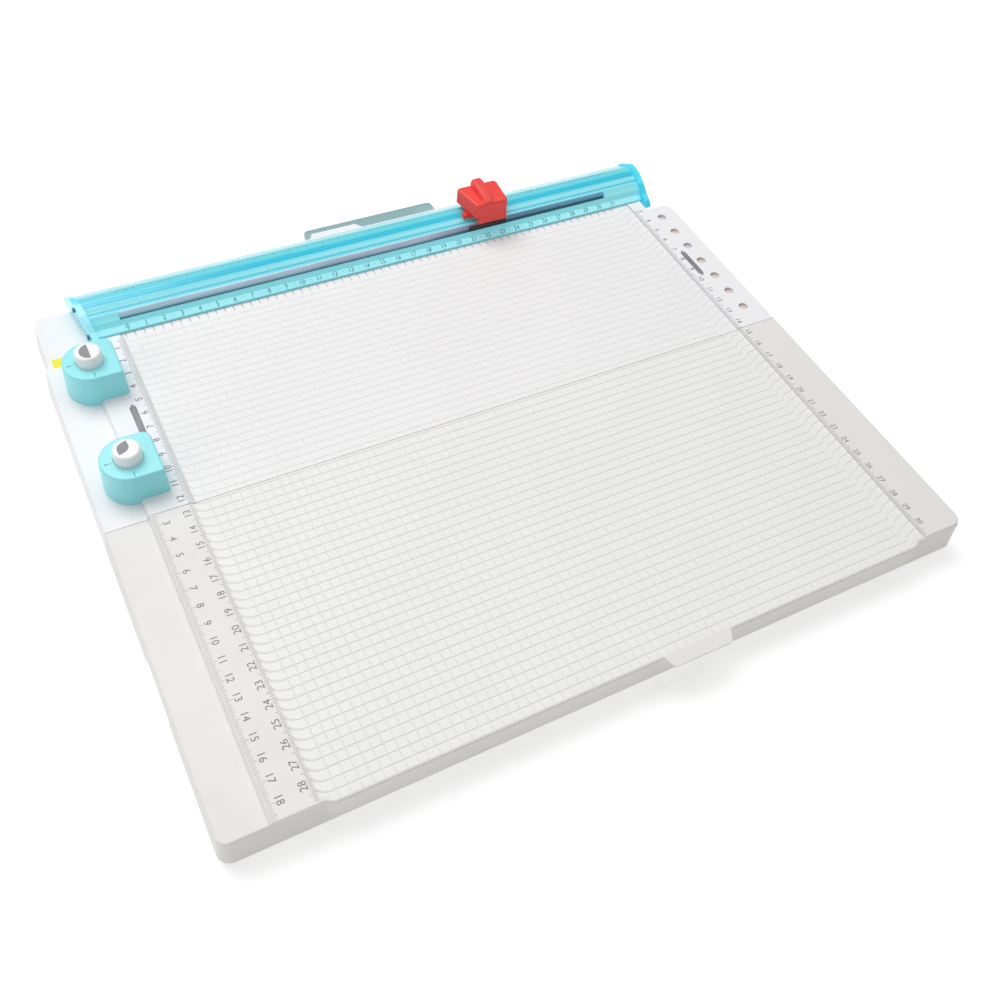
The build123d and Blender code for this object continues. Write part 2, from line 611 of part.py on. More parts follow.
def cap_screws():
    """Small pan-head screws that hold the caps to the rail."""
    with BuildPart() as screws:
        for y, z in CAP_SCREWS:
            part_of_depth = (y - RAIL_Y[0]) / (RAIL_Y[1] - RAIL_Y[0])
            for end, side in ((RAIL_END_LEFT, -1), (RAIL_END_RIGHT, 1)):
                face = end[0] + part_of_depth * (end[1] - end[0]) + side * (CAP_THICK + 0.25)
                low, high = sorted((face, face + side * 0.9))
                add(bar((low, high), y, STRIP_Z + z, 1.5))
                low, high = sorted((face, face - side * 3.0))
                add(bar((low, high), y, STRIP_Z + z, 0.75))
    return screws


# ---------------------------------------------------------------- cutter

def rail_shadow(gap):
    """The rail's upper outline grown by a gap and carried down, to cut what rides on it."""
    with BuildSketch(Plane.XY) as shadow:
        with BuildLine():
            Polyline(*[rail_point((y, z + gap)) for y, z in RAIL_OUTER[3:]],
                     rail_point((162.0, 2.0)), rail_point((162.0, -6.0)), rail_point((130.6, -6.0)), close=True)
        make_face()
    return shadow.sketch


def from_carriage(left, right):
    """X span given from the middle of the carriage."""
    return (CARRIAGE_X + left, CARRIAGE_X + right)


def both_sides(inner, outer):
    """X spans of a feature that the carriage has on its left and on its right."""
    return [from_carriage(-outer, -inner), from_carriage(inner, outer)]


def carriage_slider():
    """Runner on the rail's crest, with two legs that pass down through the slot."""
    shadow = rail_shadow(CREST_GAP)
    crest = (STRIP_Z + 7.5, SLIDER_TOP_Z)
    with BuildPart() as slider:
        add(block(from_carriage(-SHOULDER_X, SHOULDER_X), SHOULDER_Y, crest))
        add(block(from_carriage(-RUNNER_X, RUNNER_X), (SHOULDER_Y[0], RUNNER_END_Y), crest))
        add(block(from_carriage(-LEG_X[1], LEG_X[1]), (LEG_Y[0], SHOULDER_Y[0] + 1), crest))
        with BuildSketch(Plane.YZ.offset(CARRIAGE_X - 2 * SHOULDER_X)):
            add(shadow)
        extrude(amount=4 * SHOULDER_X, mode=CUT)
        for span in both_sides(*WINDOW_X):
            add(block(span, (SHOULDER_Y[0] - 1, SHOULDER_Y[1] - 0.8), (STRIP_Z, SLIDER_TOP_Z - 0.7)), mode=CUT)
        for span in both_sides(*LEG_X):
            add(block(span, LEG_Y, (SHOE_Z[1], SLIDER_TOP_Z)))
        add(block(from_carriage(-LEG_X[0] + 0.2, LEG_X[0] - 0.2), SLOT_Y, (STRIP_Z, COVER_ROOF_Z)), mode=CUT)
    return slider


def carriage_shoes():
    """Shoes under the rail that keep the carriage on it, one on each leg."""
    with BuildPart() as shoes:
        for span in both_sides(*LEG_X):
            add(block(span, SHOE_Y, SHOE_Z))
        fillet(shoes.edges().filter_by(Axis.X), 0.3)
    return shoes


def cover_plan(inset):
    """Tapered plan of the carriage cover, narrower in front."""
    front = on_y(COVER_Y[0] + inset)
    rear = on_y(COVER_Y[1] - inset)
    front_x = from_carriage(*COVER_FRONT_X)
    rear_x = from_carriage(*COVER_REAR_X)
    with BuildSketch(Plane.XY) as plan:
        with BuildLine():
            Polyline((front_x[0] + inset, front), (front_x[1] - inset, front), (rear_x[1] - inset, rear),
                     (rear_x[0] + inset, rear), close=True)
        make_face()
    return plan.sketch


def apron_profile():
    """Side view of the apron in front, whose lower edge rises to the rear."""
    front = on_y(COVER_Y[0])
    rise = COVER_Z - APRON_Z
    with BuildSketch(Plane.XY) as profile:
        with BuildLine():
            Polyline((front, COVER_Z + 0.5), (front, APRON_Z), (front + APRON_DEPTH / 3, APRON_Z + rise / 8),
                     (front + APRON_DEPTH * 2 / 3, APRON_Z + rise / 2), (front + APRON_DEPTH, COVER_Z),
                     (front + APRON_DEPTH, COVER_Z + 0.5), close=True)
        make_face()
    return profile.sketch


def grip_ridge():
    """Rounded finger ridge, high at the rear and running out at the front edge."""
    middle = CARRIAGE_X + GRIP_X
    with BuildPart() as ridge:
        with BuildSketch(Plane.YZ.offset(middle - GRIP_HALF)):
            with Locations((on_y(GRIP_CREST_Y), GRIP_TOP_Z - GRIP_BEND)):
                Circle(GRIP_BEND)
        extrude(amount=2 * GRIP_HALF)
        fillet(ridge.edges().filter_by(GeomType.CIRCLE), GRIP_ROUND)
        add(block((middle - 5, middle + 5), (COVER_Y[0] + 0.9, COVER_Y[1] - 0.6),
                  (COVER_TOP_Z - 0.9, GRIP_TOP_Z + 1)), mode=Mode.INTERSECT)
        rear = ridge.faces().sort_by(Axis.Y)[-1]
        fillet(rear.edges().filter_by(Axis.X).sort_by(Axis.Z)[-1:], 0.8)
    return ridge


def carriage_cover():
    """Finger cover of the carriage, pressed down in one piece to lower the blade."""
    outline = cover_plan(0)
    hollow = cover_plan(COVER_WALL)
    apron = apron_profile()
    apron_x = from_carriage(*APRON_X)
    with BuildPart() as cover:
        with BuildSketch(Plane.XY.offset(COVER_Z)):
            add(outline)
        extrude(amount=COVER_TOP_Z - COVER_Z)
        fillet(cover.edges().filter_by(Axis.Z), COVER_CORNER)
        fillet(cover.edges().group_by(Axis.Z)[-1], COVER_EDGE)
        with BuildSketch(Plane.YZ.offset(apron_x[0])):
            add(apron)
        extrude(amount=apron_x[1] - apron_x[0])
        with BuildSketch(Plane.XY.offset(COVER_Z - 0.5)):
            add(hollow)
        extrude(amount=COVER_ROOF_Z - COVER_Z + 0.5, mode=CUT)
        add(block((apron_x[0] + COVER_WALL, apron_x[1] - COVER_WALL),
                  (COVER_Y[0] + COVER_WALL, COVER_Y[0] + APRON_DEPTH + 2), (APRON_Z - 1, COVER_Z + 1)),
            mode=CUT)
        add(grip_ridge())
        add(rod(CARRIAGE_X, SPRING_Y, (SPRING_SEAT_Z, COVER_ROOF_Z + 0.5), SPRING_SEAT_R))
        add(rod(CARRIAGE_X, SPRING_Y, (SPRING_SEAT_Z - 2.0, SPRING_SEAT_Z), SPRING_PEG_R))
    return cover


def blade_holder():
    """Flat holder that carries the blade down the slot between the legs."""
    kerf = (BLADE_Y - BLADE_THICK / 2, BLADE_Y + BLADE_THICK / 2)
    with BuildPart() as holder:
        add(block(from_carriage(-HOLDER_X, HOLDER_X), LEG_Y, (SHOE_Z[1], COVER_ROOF_Z)))
        add(block(from_carriage(*HOLDER_FOOT_X), HOLDER_FOOT_Y, HOLDER_FOOT_Z))
        add(block(from_carriage(-HOLDER_X, HOLDER_X), (HOLDER_FOOT_Y[0], LEG_Y[1]), HOLDER_FOOT_Z))
        add(block(from_carriage(-BLADE_X, BLADE_X), kerf, (STRIP_Z, BLADE_TOP_Z)), mode=CUT)
    return holder


def blade():
    """Pointed steel blade."""
    left, right = from_carriage(-BLADE_X, BLADE_X)
    shoulder = SHOE_Z[1] + 0.1
    with BuildPart() as knife:
        with BuildSketch(Plane.XZ.offset(-on_y(BLADE_Y + BLADE_THICK / 2))):
            with BuildLine():
                Polyline((left, BLADE_TOP_Z), (right, BLADE_TOP_Z), (right, shoulder),
                         (CARRIAGE_X, STRIP_Z - 0.1), (left, shoulder), close=True)
            make_face()
        extrude(amount=BLADE_THICK)
    return knife


def coil(x, y, z, radius, wire, turns):
    """Round-wire compression spring standing between two heights."""
    height = z[1] - z[0] - wire
    with BuildPart() as spring:
        with BuildLine(Plane.XY.offset(z[0] + wire / 2)):
            path = Helix(pitch=height / turns, height=height, radius=radius, center=(x, on_y(y), 0))
        with BuildSketch(Plane(origin=path @ 0, z_dir=path % 0)):
            Circle(wire / 2)
        sweep(path=path, is_frenet=True)
    return spring


def cutting_mat():
    """Grey mat strip in the bed with the blade's groove."""
    with BuildPart() as mat:
        add(mat_block(FIELD_Z))
        add(block(SLOT_X, (BLADE_Y - MAT_GROOVE, BLADE_Y + MAT_GROOVE),
                  (FIELD_Z - MAT_GROOVE_DEPTH, FIELD_Z + 1)), mode=CUT)
    return mat


# ---------------------------------------------------------------- corner punches

def punch_plan(y, inset):
    """D-shaped plan of a punch housing, round to the left."""
    radius = PUNCH_R - inset
    right = PUNCH_X + PUNCH_RIGHT - inset
    centre_y = on_y(y)
    with BuildSketch(Plane.XY) as plan:
        with BuildLine():
            arc = ThreePointArc((PUNCH_X, centre_y + radius), (PUNCH_X - radius, centre_y),
                                (PUNCH_X, centre_y - radius))
            FilletPolyline(arc @ 1, (right, centre_y - radius), (right, centre_y + radius), arc @ 0,
                           radius=[max(2.2 - inset, 0.5), max(5.5 - inset, 0.5)])
        make_face()
    return plan.sketch


def punch_housing(y):
    """Housing of one corner punch, with a paper throat on its right side."""
    throat_z = STRIP_Z + THROAT
    lean = degrees(atan2(PUNCH_DRAFT, PUNCH_TOP_Z - WING_Z))
    outline = punch_plan(y, 0)
    hollow = punch_plan(y, PUNCH_WALL + PUNCH_DRAFT)
    with BuildPart() as housing:
        with BuildSketch(Plane.XY.offset(WING_Z)):
            add(outline)
        extrude(amount=PUNCH_TOP_Z - WING_Z, taper=lean)
        fillet(housing.faces().sort_by(Axis.Z)[-1].edges(), 1.0)
        with BuildSketch(Plane.XY.offset(SEAT_Z)):
            add(hollow)
        extrude(amount=PUNCH_TOP_Z - PUNCH_ROOF - SEAT_Z, mode=CUT)
        add(rod(PUNCH_X, y, (PUNCH_TOP_Z - 4, PUNCH_TOP_Z + 1), KNOB_R + 0.35), mode=CUT)
        add(block((STRIP_X - 0.05, STRIP_X + 60), (y - 20, y + 20), (0, STRIP_Z)), mode=CUT)
        add(block(DIE_X, (y - DIE_HALF, y + DIE_HALF), (WING_Z - 1, STRIP_Z)), mode=CUT)
        add(block((PUNCH_X - 9, PUNCH_X + 40), (y - 10.5, y + 10.5), (STRIP_Z, throat_z)), mode=CUT)
        add(rod(PUNCH_X, y, (STRIP_Z, throat_z + 3), TOOL_R + 0.08), mode=CUT)
    return housing


def punch_knob(y):
    """White knob: a round cap with a flange that keeps it in the housing."""
    bore_r = SHAFT_R + 0.06
    flange_z = (COLLAR_Z[1] + 0.3, COLLAR_Z[1] + 1.8)
    with BuildPart() as knob:
        with BuildSketch(Plane.XZ.offset(-on_y(y))):
            with BuildLine():
                Polyline((PUNCH_X + bore_r, flange_z[0]), (PUNCH_X + KNOB_R + FLANGE, flange_z[0]),
                         (PUNCH_X + KNOB_R + FLANGE, flange_z[1]), (PUNCH_X + KNOB_R, flange_z[1]),
                         (PUNCH_X + KNOB_R, 39.0), (PUNCH_X + KNOB_TOP_R, KNOB_TOP_Z), (PUNCH_X, KNOB_TOP_Z),
                         (PUNCH_X, SHAFT_TOP_Z + 0.3), (PUNCH_X + bore_r, SHAFT_TOP_Z + 0.3), close=True)
            make_face()
        revolve(axis=Axis((PUNCH_X, on_y(y), 0), (0, 0, 1)))
        fillet(knob.edges().group_by(Axis.Z)[-1], KNOB_ROUND)
    return knob


def punch_plunger(y):
    """Shaft under the knob with a collar for the return spring."""
    with BuildPart() as plunger:
        add(rod(PUNCH_X, y, (SHAFT_FOOT_Z, SHAFT_TOP_Z), SHAFT_R))
        add(rod(PUNCH_X, y, COLLAR_Z, SHAFT_R + 2.3))
    return plunger


def punch_tool(y):
    """Steel punch: a rounder with one flat, let into the foot of the plunger."""
    with BuildPart() as tool:
        add(rod(PUNCH_X, y, (STRIP_Z + THROAT + 0.2, SHAFT_FOOT_Z), TOOL_R))
        add(block((PUNCH_X + 2.4, PUNCH_X + 6), (y - 6, y + 6), (STRIP_Z, SHAFT_FOOT_Z + 1)), mode=CUT)
    return tool


def punch_die(y):
    """Steel die plate in the board's skin."""
    with BuildPart() as die:
        add(block(DIE_X, (y - DIE_HALF, y + DIE_HALF), (WING_Z, STRIP_Z)))
        add(rod(PUNCH_X, y, (WING_Z - 1, STRIP_Z + 1), TOOL_R + 0.09), mode=CUT)
    return die


# ---------------------------------------------------------------- handle and small parts

def handle_grip():
    """Clear grip bar of the pull-out carry handle."""
    with BuildPart() as grip:
        with BuildSketch(Plane.XY.offset(HANDLE_Z[0])):
            with BuildLine():
                FilletPolyline((HANDLE_X[0], on_y(HANDLE_FRONT)), (HANDLE_X[0], on_y(REAR_REACH)),
                               (HANDLE_X[1], on_y(REAR_REACH)), (HANDLE_X[1], on_y(HANDLE_FRONT)),
                               radius=3.0)
                Line((HANDLE_X[1], on_y(HANDLE_FRONT)), (HANDLE_X[0], on_y(HANDLE_FRONT)))
            make_face()
        extrude(amount=HANDLE_Z[1] - HANDLE_Z[0])
        fillet(grip.edges().group_by(Axis.Z)[-1], 0.8)
        with BuildSketch(Plane.XY.offset(HANDLE_Z[0])):
            with Locations(((HANDLE_X[0] + HANDLE_X[1]) / 2, on_y((HANDLE_FRONT + REAR_REACH) / 2))):
                RectangleRounded(HANDLE_X[1] - HANDLE_X[0] - 24, 5.4, 1.5)
        extrude(amount=4.0, mode=CUT)
    return grip


def handle_arms():
    """Two flat arms that slide in the shell's doorways, with a stop at the inner end."""
    with BuildPart() as arms:
        for x in arm_places():
            end = HANDLE_FRONT - ARM_LENGTH
            mid = (HANDLE_Z[0] + 1.0, HANDLE_Z[1] - 1.0)
            add(block((x - ARM / 2, x + ARM / 2), (end, HANDLE_FRONT), mid))
            add(block((x - ARM / 2 - 1.6, x + ARM / 2 + 1.6), (end, end + 4), mid))
    return arms


def marker_inlays():
    """Grey bars let into the strips on both sides of the field."""
    marker = marker_outline()
    with BuildPart() as inlays:
        for x in MARKER_X:
            with BuildSketch(Plane.XY.offset(STRIP_Z - MARKER_DEPTH)):
                with Locations((x, on_y(MARKER_Y))):
                    add(marker)
            extrude(amount=MARKER_DEPTH + MARKER_PROUD)
    return inlays


def chip_plugs():
    """Plugs in the rear cover under the punches, pulled out to empty the chips."""
    with BuildPart() as plugs:
        for y in PUNCH_Y:
            add(rod(PUNCH_X, y, (RIM_Z, RIM_Z + COVER), PLUG_R))
            add(rod(PUNCH_X, y, (RIM_Z + COVER, RIM_Z + COVER + 1.2), PLUG_R + 0.6))
            add(block((PUNCH_X - 5, PUNCH_X + 5), (y - 0.7, y + 0.7), (RIM_Z - 1, RIM_Z + 0.9)), mode=CUT)
    return plugs


# ---------------------------------------------------------------- build everything

os.makedirs("parts", exist_ok=True)

save(rear_deck(), "rear_deck")
save(front_deck(), "front_deck")
save(score_plate(SEAM_GAP / 2, BED_Y - PLATE_GAP), "rear_score_plate")
save(score_plate(-HALF_DEPTH + DRAFT + LIP + PLATE_GAP, -SEAM_GAP / 2), "front_score_plate")

rear_feet = foot_places(REAR_FEET, 1)
front_feet = foot_places(FRONT_FEET, -1)
rear_screws = screw_places(REAR_SCREWS, 1)
front_screws = screw_places(FRONT_SCREWS, -1)
rear_blocks = [((-INNER_HALF + 2.6, BED_X[1] - SKIN - 0.2),
                (SEAM_GAP / 2 + SKIN + 0.2, WING_END_Y - SKIN - 0.2)),
               ((BED_X[0] + SKIN + 0.2, BED_X[1] - SKIN - 0.2),
                (WING_END_Y - SKIN - 0.2, HALF_DEPTH - DRAFT - SKIN - 0.2)),
               ((BED_X[1] - SKIN - 0.2, INNER_HALF - 0.2),
                (SEAM_GAP / 2 + SKIN + 0.2, MARGIN_END_Y - SKIN - 0.2))]
front_blocks = [((-INNER_HALF + 0.2, INNER_HALF - 0.2),
                 (-HALF_DEPTH + DRAFT + SKIN + 0.2, -SEAM_GAP / 2 - SKIN - 0.2))]
rear_cover = base_cover(rear_blocks, rear_feet, rear_screws)
with rear_cover:
    for punch_y in PUNCH_Y:
        add(rod(PUNCH_X, punch_y, (0, RIM_Z + COVER + 1), PLUG_R), mode=CUT)
save(rear_cover, "rear_base_cover")
save(base_cover(front_blocks, front_feet, front_screws), "front_base_cover")
save(feet_set(rear_feet), "rear_feet")
save(feet_set(front_feet), "front_feet")
save(screw_set(rear_screws, RIM_Z), "rear_cover_screws")
save(screw_set(front_screws, RIM_Z), "front_cover_screws")
save(chip_plugs(), "chip_plugs")

save(hinge_leaves(1, 0), "rear_hinge_leaves")
save(hinge_leaves(-1, 1), "front_hinge_leaves")
save(fold_pins(), "fold_hinge_pins")

save(rail_body(), "rail")
save(rail_pins(), "rail_hinge_pins")
save(rail_ears(), "rail_hinge_ears")
save(slot_liner(), "slot_liner")
save(grip_strip(), "rail_grip_strip")
save(rail_cap(RAIL_END_LEFT, -1), "rail_cap_left")
save(rail_cap(RAIL_END_RIGHT, 1), "rail_cap_right")
save(cap_screws(), "rail_cap_screws")
save(cutting_mat(), "cutting_mat")

save(carriage_slider(), "carriage_slider")
save(carriage_shoes(), "carriage_shoes")
save(carriage_cover(), "carriage_cover")
save(blade_holder(), "blade_holder")
save(blade(), "blade")
save(coil(CARRIAGE_X, SPRING_Y, (SLIDER_TOP_Z, SPRING_SEAT_Z), 2.1, 0.4, 4), "cutter_spring")

for side_name, punch_y in zip(("rear", "front"), PUNCH_Y):
    save(punch_housing(punch_y), f"{side_name}_punch_housing")
    save(punch_knob(punch_y), f"{side_name}_punch_knob")
    save(punch_plunger(punch_y), f"{side_name}_punch_plunger")
    save(punch_tool(punch_y), f"{side_name}_punch_tool")
    save(punch_die(punch_y), f"{side_name}_punch_die")
    save(coil(PUNCH_X, punch_y, (SEAT_Z, COLLAR_Z[0]), 5.2, 0.7, 3), f"{side_name}_punch_spring")

save(handle_grip(), "handle_grip")
save(handle_arms(), "handle_arms")
save(marker_inlays(), "marker_inlays")
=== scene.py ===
import math

import bmesh
import bpy
from mathutils import Matrix, Vector


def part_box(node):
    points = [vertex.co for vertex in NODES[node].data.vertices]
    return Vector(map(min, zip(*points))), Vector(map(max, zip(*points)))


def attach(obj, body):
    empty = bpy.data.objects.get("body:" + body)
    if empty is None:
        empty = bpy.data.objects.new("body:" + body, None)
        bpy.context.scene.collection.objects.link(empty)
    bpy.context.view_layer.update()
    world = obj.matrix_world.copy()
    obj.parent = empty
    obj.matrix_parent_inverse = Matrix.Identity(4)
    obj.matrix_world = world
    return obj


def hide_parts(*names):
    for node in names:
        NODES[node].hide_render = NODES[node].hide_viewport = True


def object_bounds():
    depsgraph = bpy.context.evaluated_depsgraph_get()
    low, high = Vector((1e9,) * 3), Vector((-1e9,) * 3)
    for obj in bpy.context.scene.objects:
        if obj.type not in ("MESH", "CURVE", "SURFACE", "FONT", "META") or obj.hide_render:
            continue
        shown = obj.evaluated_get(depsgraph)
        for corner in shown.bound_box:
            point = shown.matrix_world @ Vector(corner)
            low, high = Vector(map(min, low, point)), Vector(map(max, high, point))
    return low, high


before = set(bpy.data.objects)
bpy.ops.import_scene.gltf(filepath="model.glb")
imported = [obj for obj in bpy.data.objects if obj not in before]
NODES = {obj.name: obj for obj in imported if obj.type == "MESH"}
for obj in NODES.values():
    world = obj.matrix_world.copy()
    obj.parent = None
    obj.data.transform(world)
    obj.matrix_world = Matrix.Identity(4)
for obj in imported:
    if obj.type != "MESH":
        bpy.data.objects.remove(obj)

# Folding paper trimmer and score board. The CAD pieces keep their places; this script gives them their
# finishes and adds the score grooves, the rounded front edge of the field, the ruler prints and the small
# marks. Lengths are millimetres in the part's frame, and MM turns them into metres. Only bump depths, the
# CAD box, the floor, the lights and the camera are in metres from the start.

MM = 0.001
CAD_LOW, CAD_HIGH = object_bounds()


def low(node):
    """Lowest corner of a CAD node's box."""
    return [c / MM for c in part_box(node)[0]]


def high(node):
    """Highest corner of a CAD node's box."""
    return [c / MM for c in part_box(node)[1]]


# ---- driving sizes ----
PLATE_GAP = 0.1             # between a score plate and the deck beside it
STRIP_Z = high("rear_deck")[2]
FIELD_Z = high("front_score_plate")[2]
WING_Z = 19.6               # top of the low wing at the far left
FIELD_LEFT = low("front_score_plate")[0] - PLATE_GAP
FIELD_RIGHT = high("front_score_plate")[0] + PLATE_GAP
STRIP_LEFT = -176.0         # step between the wing and the strip with the left rulers
FOLD_Y = (low("rear_score_plate")[1] + high("front_score_plate")[1]) / 2
FRONT_Y = low("front_score_plate")[1]
RAIL_FRONT_Y = low("rail")[1]

SCORE_PITCH = 5.0
SCORE_Y0 = 121.35           # rear-most score line that runs along X
SCORE_X0 = -151.8           # first score line that runs along Y
SCORE_ROWS = 58
SCORE_COLUMNS = 63
LEFT_RULER_0 = 122.75       # Y of 0 on the inner left ruler, which counts to the front
OUTER_RULER_0 = 21.09       # the same for the outer left ruler
RIGHT_RULER_0 = 143.47      # the same for the right ruler
RAIL_RULER_0 = -149.39      # X of 0 on the rail's ruler, which counts to the right
INK_LIFT = 0.03             # a print stands this far off its surface


# ---------------------------------------------------------------- materials

def linear(*srgb):
    """Colour given as 0-255 screen values, as the linear values that shaders use."""
    values = [c / 255 for c in srgb]
    return tuple(c / 12.92 if c <= 0.04045 else ((c + 0.055) / 1.055) ** 2.4 for c in values) + (1.0,)


class Look:
    """A principled material in the part's own coordinates, with a few node helpers."""

    def __init__(self, name, colour, roughness, metallic=0.0, coat=0.0, ior=1.5, transmission=0.0,
                 subsurface=0.0):
        self.mat = bpy.data.materials.new(name)
        self.mat.use_nodes = True
        self.tree = self.mat.node_tree
        self.tree.nodes.clear()
        self.out = self.tree.nodes.new("ShaderNodeOutputMaterial")
        self.shader = self.tree.nodes.new("ShaderNodeBsdfPrincipled")
        self.tree.links.new(self.shader.outputs["BSDF"], self.out.inputs["Surface"])
        self.shader.inputs["Base Color"].default_value = colour
        self.shader.inputs["Roughness"].default_value = roughness
        self.shader.inputs["Metallic"].default_value = metallic
        self.shader.inputs["Coat Weight"].default_value = coat
        self.shader.inputs["IOR"].default_value = ior
        self.shader.inputs["Transmission Weight"].default_value = transmission
        self.shader.inputs["Subsurface Weight"].default_value = subsurface
        self.shader.inputs["Subsurface Radius"].default_value = (0.004, 0.003, 0.002)
        self.shader.inputs["Subsurface Scale"].default_value = 0.5
        self.coords = self.tree.nodes.new("ShaderNodeTexCoord").outputs["Object"]
        self.mat.diffuse_color = colour

    def node(self, kind, inputs=(), **settings):
        """A new node, with its inputs linked or set and its settings made."""
        made = self.tree.nodes.new(kind)
        for key, value in settings.items():
            setattr(made, key, value)
        for key, value in dict(inputs).items():
            if isinstance(value, bpy.types.NodeSocket):
                self.tree.links.new(value, made.inputs[key])
            else:
                made.inputs[key].default_value = value
        return made

    def noise(self, scale, detail=3.0, stretch=None):
        """Cloudy noise around 0.5; a small stretch factor draws it out along that axis."""
        vector = self.coords
        if stretch:
            vector = self.node("ShaderNodeMapping", {"Vector": vector, "Scale": stretch}).outputs["Vector"]
        made = self.node("ShaderNodeTexNoise", {"Vector": vector, "Scale": scale, "Detail": detail})
        return made.outputs["Fac"]

    def spread(self, value, out_low, out_high, in_low=0.3, in_high=0.7):
        """A value's range from in_low to in_high, laid over out_low to out_high."""
        made = self.node("ShaderNodeMapRange", {"Value": value, "From Min": in_low, "From Max": in_high,
                                                "To Min": out_low, "To Max": out_high})
        return made.outputs["Result"]

    def mix(self, factor, first, second):
        """A colour between two, each of which may be a socket."""
        made = self.node("ShaderNodeMix", data_type="RGBA")
        for key, value in (("Factor", factor), ("A", first), ("B", second)):
            socket = [s for s in made.inputs if s.name == key and (s.type == "RGBA") == (key != "Factor")][0]
            if isinstance(value, bpy.types.NodeSocket):
                self.tree.links.new(value, socket)
            else:
                socket.default_value = value
        return [s for s in made.outputs if s.type == "RGBA"][0]

    def axis(self, name):
        """One coordinate of the part's frame, in metres."""
        return self.node("ShaderNodeSeparateXYZ", {"Vector": self.coords}).outputs[name]

    def product(self, first, *others):
        """Several masks at once."""
        for other in others:
            first = self.node("ShaderNodeMath", {0: first, 1: other}, operation="MULTIPLY").outputs["Value"]
        return first

    def clouded(self, colour, shade, scale=14.0, detail=4.0):
        """A colour that drifts to a darker shade of itself and back."""
        darker = tuple(c * shade for c in colour[:3]) + (1.0,)
        return self.mix(self.spread(self.noise(scale, detail), 0.0, 1.0), colour, darker)

    def ramp(self, value, stops):
        """A colour ramp through pairs of a share and screen values."""
        made = self.node("ShaderNodeValToRGB", {"Fac": value})
        stops = [(share, linear(*rgb)) for share, rgb in stops]
        elements = made.color_ramp.elements
        while len(elements) > 1:
            elements.remove(elements[-1])
        elements[0].position = stops[0][0]
        elements[0].color = stops[0][1]
        for place, colour in stops[1:]:
            elements.new(place).color = colour
        return made.outputs["Color"]

    def colour(self, socket):
        self.tree.links.new(socket, self.shader.inputs["Base Color"])

    def glow(self, tone, strength):
        """Emission in a given tone and strength. On the plastic parts this is painted light that makes them
        brighter than the lamps do; on the floor it keeps the floor evenly bright.
        """
        if isinstance(tone, bpy.types.NodeSocket):
            self.tree.links.new(tone, self.shader.inputs["Emission Color"])
        else:
            self.shader.inputs["Emission Color"].default_value = tone
        self.shader.inputs["Emission Strength"].default_value = strength

    def rough(self, socket):
        self.tree.links.new(socket, self.shader.inputs["Roughness"])

    def bump(self, height, distance, strength=0.5):
        made = self.node("ShaderNodeBump", {"Height": height, "Distance": distance, "Strength": strength})
        self.tree.links.new(made.outputs["Normal"], self.shader.inputs["Normal"])


def moulded(name, colour, roughness, shade=0.96, grain=900.0, depth=0.00004, coat=0.0, subsurface=0.0,
            glow=0.0):
    """Moulded plastic: slight uneven tone, fine spark-eroded grain and uneven gloss; a glow, where given, is
    painted light in its own tone.
    """
    look = Look(name, colour, roughness, coat=coat, subsurface=subsurface)
    look.colour(look.clouded(colour, shade))
    look.rough(look.spread(look.noise(60.0, 5.0), roughness - 0.06, roughness + 0.06))
    look.bump(look.noise(grain, 2.0), depth, 0.35)
    # painted light: the plastic glows in its own tone
    if glow:
        look.glow(colour, glow)
    return look.mat


def score_plate_look(name, colour, groove_dust_and_painted_shade):
    """Deck plastic with a little dust and painted shade in the score grooves."""
    look = Look(name, colour, 0.5)
    # dust and painted shade: darker the deeper a point lies below the field's top
    depth = look.spread(look.axis("Z"), 1.0, 0.0, (FIELD_Z - 0.34) * MM, (FIELD_Z - 0.06) * MM)
    look.colour(look.mix(depth, look.clouded(colour, 0.975, 9.0, 3.0), groove_dust_and_painted_shade))
    look.rough(look.spread(look.noise(50.0, 4.0), 0.44, 0.56))
    look.bump(look.noise(800.0, 2.0), 0.00003, 0.3)
    return look.mat


def steel(name, colour, roughness, stretch):
    """Steel with fine lines along one direction."""
    look = Look(name, colour, roughness, metallic=1.0)
    lines = look.noise(900.0, 3.0, stretch)
    look.rough(look.spread(lines, roughness - 0.08, roughness + 0.1))
    look.bump(lines, 0.00002, 0.3)
    return look.mat


def tinted(name, colour, deep, roughness=0.12, transmission=0.5, coat=0.3):
    """Clear tinted plastic with flow marks."""
    look = Look(name, colour, roughness, coat=coat, ior=1.49, transmission=transmission)
    flow = look.noise(18.0, 3.0, (0.15, 1.0, 1.0))
    look.colour(look.mix(look.spread(flow, 0.0, 1.0), colour, deep))
    look.bump(look.noise(120.0, 2.0, (0.2, 1.0, 1.0)), 0.00004, 0.25)
    return look.mat


